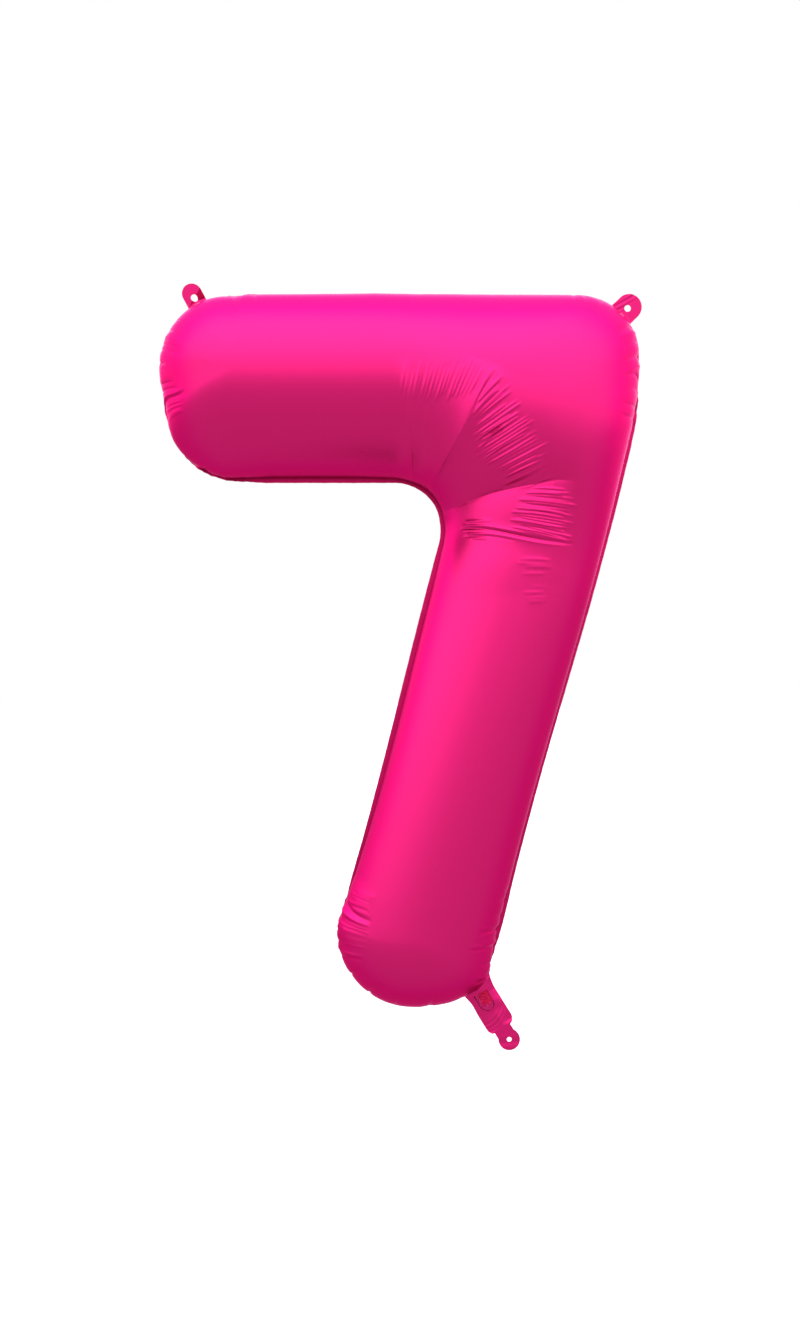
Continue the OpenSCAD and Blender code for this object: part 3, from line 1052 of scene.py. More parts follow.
def rim_run(rim: np.ndarray) -> np.ndarray:
    """Returns the distance along the rim at every spoke."""
    step = np.linalg.norm(np.diff(np.vstack([rim, rim[:1]]), axis=0), axis=1)
    return np.concatenate([[0], np.cumsum(step)])[:-1]


def section_ends(outline: DigitOutline) -> list[int]:
    """Counts the spokes.

    Args:
        outline: the digit's outline.

    Returns:
        The first spoke of each section of the outline, and the number of spokes.
    """
    o = outline
    counts = (o.end_steps, o.bar_steps, o.crook_steps, o.leg_steps, o.foot_steps, o.leg_steps,
              o.crook_steps, o.bar_steps)
    return [0, *np.cumsum(counts).tolist()]


def convex_share(outline: DigitOutline) -> np.ndarray:
    """Tells the outward roundings of the rim from its straight edges.

    Args:
        outline: the digit's outline.

    Returns:
        For every spoke, 1 at an outward rounding, fading to 0 along straight edges.
    """
    fade, shoulder_start = 24, 75
    ends = section_ends(outline)
    k = np.arange(ends[-1])
    share = np.zeros(ends[-1])
    shoulder = (ends[6] + shoulder_start, ends[7])
    for first, last in ((ends[0], ends[1]), (ends[4], ends[5]), shoulder):
        inside = np.minimum(k - first, last - k)
        share = np.maximum(share, np.clip(0.5 + inside / fade, 0, 1))
    return share


def seam_sway(outline: DigitOutline, s: np.ndarray) -> np.ndarray:
    """Works out how far the seam stands out of its plane.

    Args:
        outline: the digit's outline.
        s: distance along the rim, at every spoke.

    Returns:
        One distance for every spoke.
    """
    straight, slowly = 0.06, 0.35
    wander = waves(s, (23.0, 31.0, 47.0), 5)
    slow = waves(s, (140.0, 210.0), 9)
    return wander * (straight + (1 - straight) * convex_share(outline)) + slowly * slow


def shaped_rim(outline: DigitOutline, inset: float) -> np.ndarray:
    """Returns the rim line, tucked in at the rounded ends, with the leg's slight swell.

    Args:
        outline: the digit's outline.
        inset: distance inside the cut line.

    Returns:
        The rim's point on every spoke.
    """
    o = outline
    tucked = convex_share(o)[:, None]
    rim = o.rim(inset) * (1 - tucked) + o.rim(inset + o.tuck) * tucked
    ends = section_ends(o)
    share = np.clip((rim[:, 1] - o.swell_low) / o.swell_span, 0, 1)
    swell = np.sin(share * 2 * np.pi - np.pi) * o.swell
    k = np.arange(len(rim))
    right = soft_window(k, ends[5] - 20, ends[6] + 90, o.swell_fade)
    left = soft_window(k, ends[3] - 110, ends[4] + 20, o.swell_fade)
    rim[:, 0] += swell * right - o.swell_left * swell * left
    return rim


# ---------------------------------------------------------------- rim, tabs, tail and valve


@dataclass
class SeamRim:
    """The flat heat-sealed strip all round the digit, open where the tail comes in."""

    outline: DigitOutline
    thickness: float = 0.6
    lap: float = 3.0
    sway: float = 1.3
    cut_wander: float = 0.45
    fringe: float = 0.5
    edge_share: float = 0.6
    straight_share: float = 0.2
    throat_half: float = 16.0
    throat_above: float = 30.0
    end_sides: int = 12

    def build(self) -> bpy.types.Object:
        """Builds the strip's mesh.

        Returns:
            The new object.
        """
        o = self.outline
        inner = shaped_rim(o, o.rim_width + self.lap)
        seal = shaped_rim(o, o.rim_width)
        outer = shaped_rim(o, 0.0)
        s = rim_run(seal)
        away = outer - seal
        away /= np.linalg.norm(away, axis=1, keepdims=True)
        rounded = convex_share(o)
        ragged = self.straight_share + (1 - self.straight_share) * rounded
        ragged = self.cut_wander * ragged
        outer = outer + away * (waves(s, (9.0, 17.0, 37.0), 3) * ragged)[:, None]
        y = seam_sway(o, s) * self.sway
        fringe = y + waves(s, (19.0, 41.0), 12) * self.fringe * rounded
        half = self.thickness / 2
        edge = half * self.edge_share
        loops = []
        for line, level, lift in (
            (inner, y, -edge), (seal, y, -half), (outer, fringe, -edge),
            (outer, fringe, edge), (seal, y, half), (inner, y, edge), (inner, y, -edge),
        ):
            loops.append(np.stack([line[:, 0], level + lift, line[:, 1]], axis=1))
        obj = grid_object("seam_rim_sealed", closed(np.stack(loops, axis=1)))
        self.open_throat(obj)
        face_outwards(obj)
        soften(obj)
        return obj

    def open_throat(self, obj: bpy.types.Object) -> None:
        """Cuts the strip away where the tail's two plies pass, and closes its ends.

        Args:
            obj: the strip.
        """
        o = self.outline
        across = np.array([o.tail_up[1], -o.tail_up[0]])
        top = o.tail_length + self.throat_above
        with opened(obj, "DESELECT"):
            bpy.ops.mesh.select_mode(type="FACE")
        for face in obj.data.polygons:
            c = np.array([face.center.x, face.center.z]) / MM
            face.select = bool(abs(c @ across) < self.throat_half and c @ o.tail_up < top)
        with opened(obj, None):
            bpy.ops.mesh.delete(type="FACE")
            bpy.ops.mesh.select_all(action="SELECT")
            bpy.ops.mesh.fill_holes(sides=self.end_sides)


@dataclass
class HangTab:
    """A die-cut tab with a punched hole, standing on the rim."""

    name: str
    body: str
    node: str
    hole: tuple[float, float]
    angle: float
    half: float
    tip: float
    root: float
    flare: tuple[float, float]
    hinge_reach: float
    fold: float
    falls: tuple[float, float]
    tilt: float = 0.0
    crinkle: float = 0.0
    crinkle_at: float = 8.0
    crinkle_half: float = 4.5
    crinkle_wave: tuple[float, float] = (1.15, 0.3)
    root_fade: float = 8.0
    flare_power: int = 3
    hole_r: float = 4.0
    thickness: float = 0.6
    bend_half: float = 1.2

    def edge(self, turns: np.ndarray) -> np.ndarray:
        """Works out how far the tab's edge lies from the hole's centre.

        Args:
            turns: the directions, from the one towards the tip.

        Returns:
            One distance for each direction.
        """
        centre = self.tip - self.half
        c, s = np.cos(turns), np.sin(turns)
        round_end = centre * c + np.sqrt(np.maximum(self.half**2 - (centre * s) ** 2, 0))
        wide = np.where(s > 0, self.flare[0], self.flare[1])
        with np.errstate(divide="ignore"):
            sides = np.where(np.abs(s) > TINY, self.half / np.abs(s), ENDLESS)
            base = np.where(c < -TINY, self.root / -c, ENDLESS)
        straight = np.where(c * sides < centre, sides, ENDLESS)
        reach = np.where(c * round_end >= centre, round_end, straight)
        lower = np.minimum(base, reach)
        near_root = np.clip(-(c * lower) / self.root, 0, 1) ** self.flare_power
        return np.minimum(base, lower + wide * near_root * np.abs(s))

    def build(self) -> bpy.types.Object:
        """Builds the tab's mesh.

        Returns:
            The new object.
        """
        turns = np.linspace(0, 2 * np.pi, TAB_SPOKES)
        local_x, local_z = ring_grid(self.hole_r, self.edge(turns), turns)
        line = turn_to(self.fold)
        d = local_x * line[1] - local_z * line[0]
        lift = -np.where(d > 0, self.falls[0], -self.falls[1]) * d
        beside = np.exp(-(((local_z - self.crinkle_at) / self.crinkle_half) ** 2))
        across, along = self.crinkle_wave
        lift += self.tilt * local_x
        lift += self.crinkle * beside * np.sin(local_z * across + local_x * along)
        lift *= np.clip((local_x + self.half) / self.root_fade, 0, 1)
        u, v = turn_to(self.angle), turn_to(self.angle + 90)
        x = self.hole[0] + local_x * u[0] + local_z * v[0]
        z = self.hole[1] + local_x * u[1] + local_z * v[1]
        obj = film_object(self.name, np.stack([x, z], axis=2), -lift, self.thickness)
        soften(obj)
        return obj

    def place(self, obj: bpy.types.Object) -> None:
        """Bakes the tab's placement into its mesh and hides the imported tab it replaces.

        Args:
            obj: the tab.
        """
        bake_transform(obj)
        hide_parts(self.node)


@dataclass
class Tail:
    """The filling tail: two plies from the rim down to the ribbon tab, with the inlet mouth."""

    lean: float = 32.0
    top: float = 92.0
    low: float = 15.2
    half: float = 17.0
    ply: float = 0.3
    gap: float = 0.33
    crease: float = 36.0
    inlet_low: float = 42.0
    inlet_top: float = 67.0
    inlet_half: float = 9.0
    ribbon_crease: float = 14.5
    bend_half: float = 2.5
    neck_half: float = 10.5
    shoulder: float = 9.0
    flare: tuple[float, float] = (2.88, 3.6)
    flare_from: float = 60.0
    flare_over: float = 20.0
    waist: float = 0.8
    waist_at: float = 56.0
    waist_over: float = 9.0
    lopsided: float = 1.2
    dents: tuple[tuple[float, float, float], ...] = (
        (28.0, 0.6, 1.3), (33.5, 0.45, 1.0), (22.5, 0.4, 1.1))
    dent_slant: float = 0.35
    dent_bend: float = 0.018
    belly: tuple[float, float] = (-1.9, 0.665)
    belly_from: float = 40.0
    hidden: float = 88.0
    roof_line: float = 3.0
    roof: tuple[float, float] = (0.09, 0.13)
    brow: float = 0.3
    brow_from: float = 62.0
    brow_over: float = 14.0
    rows: int = 78
    columns: int = 37

    def __post_init__(self) -> None:
        """Works out the tail's two directions."""
        t = math.radians(self.lean)
        self.up = np.array([-math.sin(t), math.cos(t)])
        self.right = np.array([math.cos(t), math.sin(t)])

    def at(self, s: np.ndarray, w: np.ndarray) -> np.ndarray:
        """Returns (x, z) of points given along (s) and across (w) the tail."""
        return s[..., None] * self.up + w[..., None] * self.right

    def widths(self, s: np.ndarray) -> tuple[np.ndarray, np.ndarray]:
        """Works out the tail's half widths.

        Args:
            s: places along the tail.

        Returns:
            The half widths there, on the left and on the right.
        """
        t = np.clip((s - self.low) / self.shoulder, 0, 1)
        wide = self.neck_half + (self.half - self.neck_half) * np.sqrt(1 - (1 - t) ** 2)
        flare = np.clip((s - self.flare_from) / self.flare_over, 0, 1) ** 2
        waist = self.waist * np.exp(-(((s - self.waist_at) / self.waist_over) ** 2))
        left = wide + flare * self.flare[0] - waist
        return left, wide + flare * self.flare[1] + self.lopsided * t

    def sway(self, s: np.ndarray, w: np.ndarray, front: bool) -> np.ndarray:
        """Works out how far a ply's middle stands out of the seam plane, towards +y.

        Args:
            s: places along the tail.
            w: places across the tail.
            front: whether it is the front ply.

        Returns:
            One distance for each place.
        """
        loose = (np.clip((s - self.belly_from) / 10, 0, 1)
                 * np.clip((self.hidden - s) / 20, 0, 1))
        wave = 0.5 * np.sin(w / 6.0 + s / 9.0) + 0.4 * waves(s + 0.3 * w, (17.0, 29.0), 8)
        low_wave = np.zeros_like(s)
        for place, height, wide in self.dents:
            line = place + self.dent_slant * w + self.dent_bend * w * w
            low_wave += height * np.exp(-(((s - line) / wide) ** 2))
        fade = np.clip((s - self.low) / 5, 0, 1) * np.clip((s - 13) / 6, 0, 1)
        out = -(low_wave * np.clip((self.belly_from - s) / 6, 0, 1) + 0.35 * wave) * fade
        belly = loose * np.clip(1 - (w / (self.half + 1)) ** 2, 0, 1)
        slope = np.where(w > self.roof_line, self.roof[1], self.roof[0])
        out = out + slope * np.abs(w - self.roof_line) * fade
        if not front:
            return out + self.belly[1] * belly
        brow = self.brow * np.clip(s - self.brow_from, 0, self.brow_over)
        return out + self.belly[0] * belly - brow * np.clip((self.hidden - s) / 10, 0, 1)

    def ply_object(self, name: str, front: bool) -> bpy.types.Object:
        """Builds one ply.

        Args:
            name: the piece's name.
            front: whether it is the front ply, with the inlet.

        Returns:
            The new object.
        """
        s = np.linspace(self.low, self.top, self.rows)
        left, right = self.widths(s)
        share = np.linspace(0, 1, self.columns)
        w = -left[None] + (left + right)[None] * share[:, None]
        grid_s = np.repeat(s[None], len(share), 0)
        flat = self.at(grid_s, w)
        edge = np.clip(np.minimum(share, 1 - share) * 8, 0, 1)[:, None]
        above = np.clip((grid_s - self.crease) / 6, 0, 1)
        apart = self.ply / 2 + (self.gap - self.ply / 2) * above * edge
        y = self.sway(grid_s, w, front) + (-apart if front else apart)
        obj = film_object(name, flat, y, self.ply)
        if front:
            self.cut_inlet(obj)
        soften(obj)
        return obj

    def cut_inlet(self, obj: bpy.types.Object) -> None:
        """Cuts the inlet mouth out of the front ply.

        Args:
            obj: the ply.
        """
        deep, sides = 0.02, 48
        deselect()
        mid = (self.inlet_low + self.inlet_half) * self.up * MM
        r = self.inlet_half * MM
        spin = math.radians(-self.lean)
        bpy.ops.mesh.primitive_cylinder_add(
            vertices=sides, radius=r, depth=deep, location=(mid[0], 0, mid[1]),
            rotation=(math.pi / 2, 0, 0),
        )
        round_cut = bpy.context.object
        rise = (self.inlet_top - self.inlet_low - self.inlet_half) * MM
        centre = mid + self.up * rise / 2
        bpy.ops.mesh.primitive_cube_add(
            size=1, location=(centre[0], 0, centre[1]), rotation=(0, spin, 0),
            scale=(2 * r, deep, rise),
        )
        straight_cut = bpy.context.object
        for cutter in (round_cut, straight_cut):
            only(obj)
            cut = obj.modifiers.new("inlet", "BOOLEAN")
            cut.operation, cut.solver, cut.object = "DIFFERENCE", "EXACT", cutter
            bpy.ops.object.modifier_apply(modifier=cut.name)
            bpy.data.objects.remove(cutter)

    def blend(self, obj: bpy.types.Object) -> None:
        """Bakes a ply's placement into its mesh.

        Args:
            obj: the ply.
        """
        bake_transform(obj)


@dataclass
class RibbonTab:
    """The round tab with the ribbon hole at the end of the tail."""

    tail: Tail
    radius: float = 13.0
    hole_r: float = 3.0
    neck_half: float = 10.9
    lap: float = 1.4
    wave: float = 0.25
    thickness: float = 0.6
    bend_half: float = 1.0

    def build(self) -> bpy.types.Object:
        """Builds the tab's mesh, up to just past its crease.

        Returns:
            The new object.
        """
        widest = 99.0
        turns = np.linspace(0, 2 * np.pi, TAB_SPOKES)
        c, s = np.cos(turns), np.sin(turns)
        top = self.tail.low + self.lap
        neck = np.where(np.abs(s) > TINY, self.neck_half / np.maximum(np.abs(s), TINY), widest)
        end = np.where(c > TINY, top / np.maximum(c, TINY), ENDLESS)
        wide = np.maximum(self.radius, np.minimum(neck, widest))
        reach = np.where(c > 0, np.minimum(end, wide), self.radius)
        along, across = ring_grid(self.hole_r, reach, turns)
        y = self.wave * waves(along + 0.5 * across, (13.0, 21.0), 6)
        y *= np.clip(12 - along, 0, 6) / 6
        obj = film_object("ribbon_tab_sealed", self.tail.at(along, across), y, self.thickness)
        soften(obj)
        return obj

    def place(self, obj: bpy.types.Object) -> None:
        """Bakes the tab's placement into its mesh and hides the imported ribbon tab it replaces.

        Args:
            obj: the tab.
        """
        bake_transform(obj)
        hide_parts("ribbon_tab")


@dataclass
class ValveStrip:
    """One strip inside the tail: a clear valve film or the release ink between the films.

    The strip's low and high ends lie along the tail, its level is the place of its middle along y,
    and shift is how far it lies to the right of the tail's middle.
    """

    tail: Tail
    name: str
    node: str
    level: float
    low: float = 43.4
    high: float = 166.0
    half: float = 11.2
    thickness: float = 0.1
    round_low: float = 4.0
    shift: float = 0.0
    clearance: float = 0.1
    crumple: float = 0.3
    flat_above: float = 90.0
    flat_over: float = 20.0
    rows: int = 40
    columns: int = 25

    def build(self) -> bpy.types.Object:
        """Builds the strip's mesh, following the two plies of the tail.

        Returns:
            The new object.
        """
        share = np.linspace(-1, 1, self.columns)
        start = self.low + self.round_low * (1 - np.sqrt(np.clip(1 - share**2, 0, 1)))
        t = np.linspace(0, 1, self.rows)
        s = start[:, None] + (self.high - start)[:, None] * t[None]
        w = self.shift + np.repeat((share * self.half)[:, None], self.rows, 1)
        front, back = (self.tail.sway(s, w, side) for side in (True, False))
        room = np.clip((back - front) / 2 - self.clearance, 0, 1)
        crumple = self.crumple * room * np.sin(s / 3.2 + 1.3 * np.sin(w / 3.6 + s / 7))
        fade = np.clip((self.flat_above - s) / self.flat_over, 0, 1)
        y = self.level + ((front + back) / 2 + crumple) * fade
        obj = film_object(self.name, self.tail.at(s, w), y, self.thickness)
        soften(obj)
        return obj


# ---------------------------------------------------------------- studio


def sum_node(tree: bpy.types.NodeTree, operation: str, first: bpy.types.NodeSocket,
             second: bpy.types.NodeSocket | float, clamp: bool = False) -> bpy.types.NodeSocket:
    """Adds a node that does one sum.

    Args:
        tree: the nodes it joins.
        operation: the kind of sum.
        first: the first value.
        second: the second value, or a fixed number.
        clamp: whether the answer is kept between 0 and 1.

    Returns:
        The node's output.
    """
    node = tree.nodes.new("ShaderNodeMath")
    node.operation, node.use_clamp = operation, clamp
    tree.links.new(first, node.inputs[0])
    if isinstance(second, bpy.types.NodeSocket):
        tree.links.new(second, node.inputs[1])
    else:
        node.inputs[1].default_value = second
    return node.outputs["Value"]


@dataclass
class Studio:
    """A pale floor, soft light strongest from above, a white backdrop and the camera."""

    eye: tuple[float, float, float] = (-0.1319, -1.3, 0.4491)
    picture_height: float = 1.6125
    floor_z: float = -0.62
    floor_tone: float = 0.3
    brightest: float = 8.0
    heights: tuple[float, ...] = (-0.04, 0.04, 0.22, 0.42, 0.7, 1.0)
    all_round: tuple[float, ...] = (1.3, 2.15, 2.7, 3.8, 5.0, 5.9)
    from_left: tuple[float, ...] = (0.0, 0.2, 1.6, 0.8, 0.3, 0.0)
    from_right: tuple[float, ...] = (0.3, 1.5, 0.9, 0.2, 0.0, 0.0)
    less_behind: tuple[float, ...] = (0.2, 0.1, 0.0, 0.4, 0.3, 0.0)
    from_front: tuple[float, ...] = (0.0, 0.3, 0.2, 0.1, 0.1, 0.0)
    sensor: float = 36.0
    near: float = 0.01
    far: float = 50.0
    floor_size: float = 60.0
    floor_roughness: float = 0.9
    floor_specular: float = 0.1

    def camera(self) -> None:
        """Adds the camera, level and square to the seam plane."""
        made = bpy.data.cameras.new("camera")
        made.sensor_fit = "AUTO"
        made.sensor_width = self.sensor
        made.lens = self.sensor * abs(self.eye[1]) / self.picture_height
        made.clip_start, made.clip_end = self.near, self.far
        obj = bpy.data.objects.new("camera", made)
        bpy.context.scene.collection.objects.link(obj)
        obj.location = self.eye
        obj.rotation_euler = (math.pi / 2, 0, 0)
        bpy.context.scene.camera = obj

    def floor(self) -> None:
        """Adds the floor, well below the balloon."""
        deselect()
        bpy.ops.mesh.primitive_plane_add(size=self.floor_size, location=(0, 0, self.floor_z))
        obj = bpy.context.object
        obj.name = "floor"
        tone = (self.floor_tone,) * 3
        paint = Finish("pale floor", tone, 0.0, self.floor_roughness, self.floor_specular)
        obj.data.materials.append(paint.material())

    def ramp(self, tree: bpy.types.NodeTree, height: bpy.types.NodeSocket,
             levels: tuple[float, ...]) -> bpy.types.NodeSocket:
        """Adds a ramp of light levels from straight down to straight up.

        Args:
            tree: the world's nodes.
            height: the socket with 0 straight down and 1 straight up.
            levels: one for each of the studio's heights.

        Returns:
            The ramp's output.
        """
        ramp = tree.nodes.new("ShaderNodeValToRGB")
        elements = ramp.color_ramp.elements
        while len(elements) < len(self.heights):
            elements.new(0.5)
        for element, at, level in zip(elements, self.heights, levels):
            element.position = at / 2 + 0.5
            share = level / self.brightest
            element.color = (share, share, share, 1.0)
        tree.links.new(height, ramp.inputs["Fac"])
        return ramp.outputs["Color"]

    def sky(self) -> None:
        """Fills the room with light that differs by side and height, behind a white backdrop."""
        world = bpy.data.worlds.new("soft room")
        bpy.context.scene.world = world
        world.use_nodes = True
        tree = world.node_tree
        where = tree.nodes.new("ShaderNodeTexCoord")
        parts = tree.nodes.new("ShaderNodeSeparateXYZ")
        tree.links.new(where.outputs["Generated"], parts.inputs["Vector"])
        height = tree.nodes.new("ShaderNodeMapRange")
        height.inputs["From Min"].default_value = -1.0
        tree.links.new(parts.outputs["Z"], height.inputs["Value"])
        up_down = height.outputs["Result"]
        total = self.ramp(tree, up_down, self.all_round)
        for axis, sign, levels, join in (
            ("X", -1, self.from_left, "ADD"), ("X", 1, self.from_right, "ADD"),
            ("Y", -1, self.from_front, "ADD"), ("Y", 1, self.less_behind, "SUBTRACT"),
        ):
            light = self.ramp(tree, up_down, levels)
            facing = sum_node(tree, "MULTIPLY", parts.outputs[axis], sign, clamp=True)
            total = sum_node(tree, join, total, sum_node(tree, "MULTIPLY", light, facing))
        room = tree.nodes["Background"]
        room.inputs["Color"].default_value = (1.0, 1.0, 1.0, 1.0)
        strength = sum_node(tree, "MULTIPLY", total, self.brightest)
        tree.links.new(strength, room.inputs["Strength"])
        backdrop = tree.nodes.new("ShaderNodeBackground")
        backdrop.inputs["Color"].default_value = (1.0, 1.0, 1.0, 1.0)
        ray = tree.nodes.new("ShaderNodeLightPath")
        choose = tree.nodes.new("ShaderNodeMixShader")
        tree.links.new(ray.outputs["Is Camera Ray"], choose.inputs["Fac"])
        tree.links.new(room.outputs["Background"], choose.inputs[1])
        tree.links.new(backdrop.outputs["Background"], choose.inputs[2])
        tree.links.new(choose.outputs["Shader"], tree.nodes["World Output"].inputs["Surface"])
        bpy.context.scene.view_settings.view_transform = "Standard"


# ---------------------------------------------------------------- the whole balloon


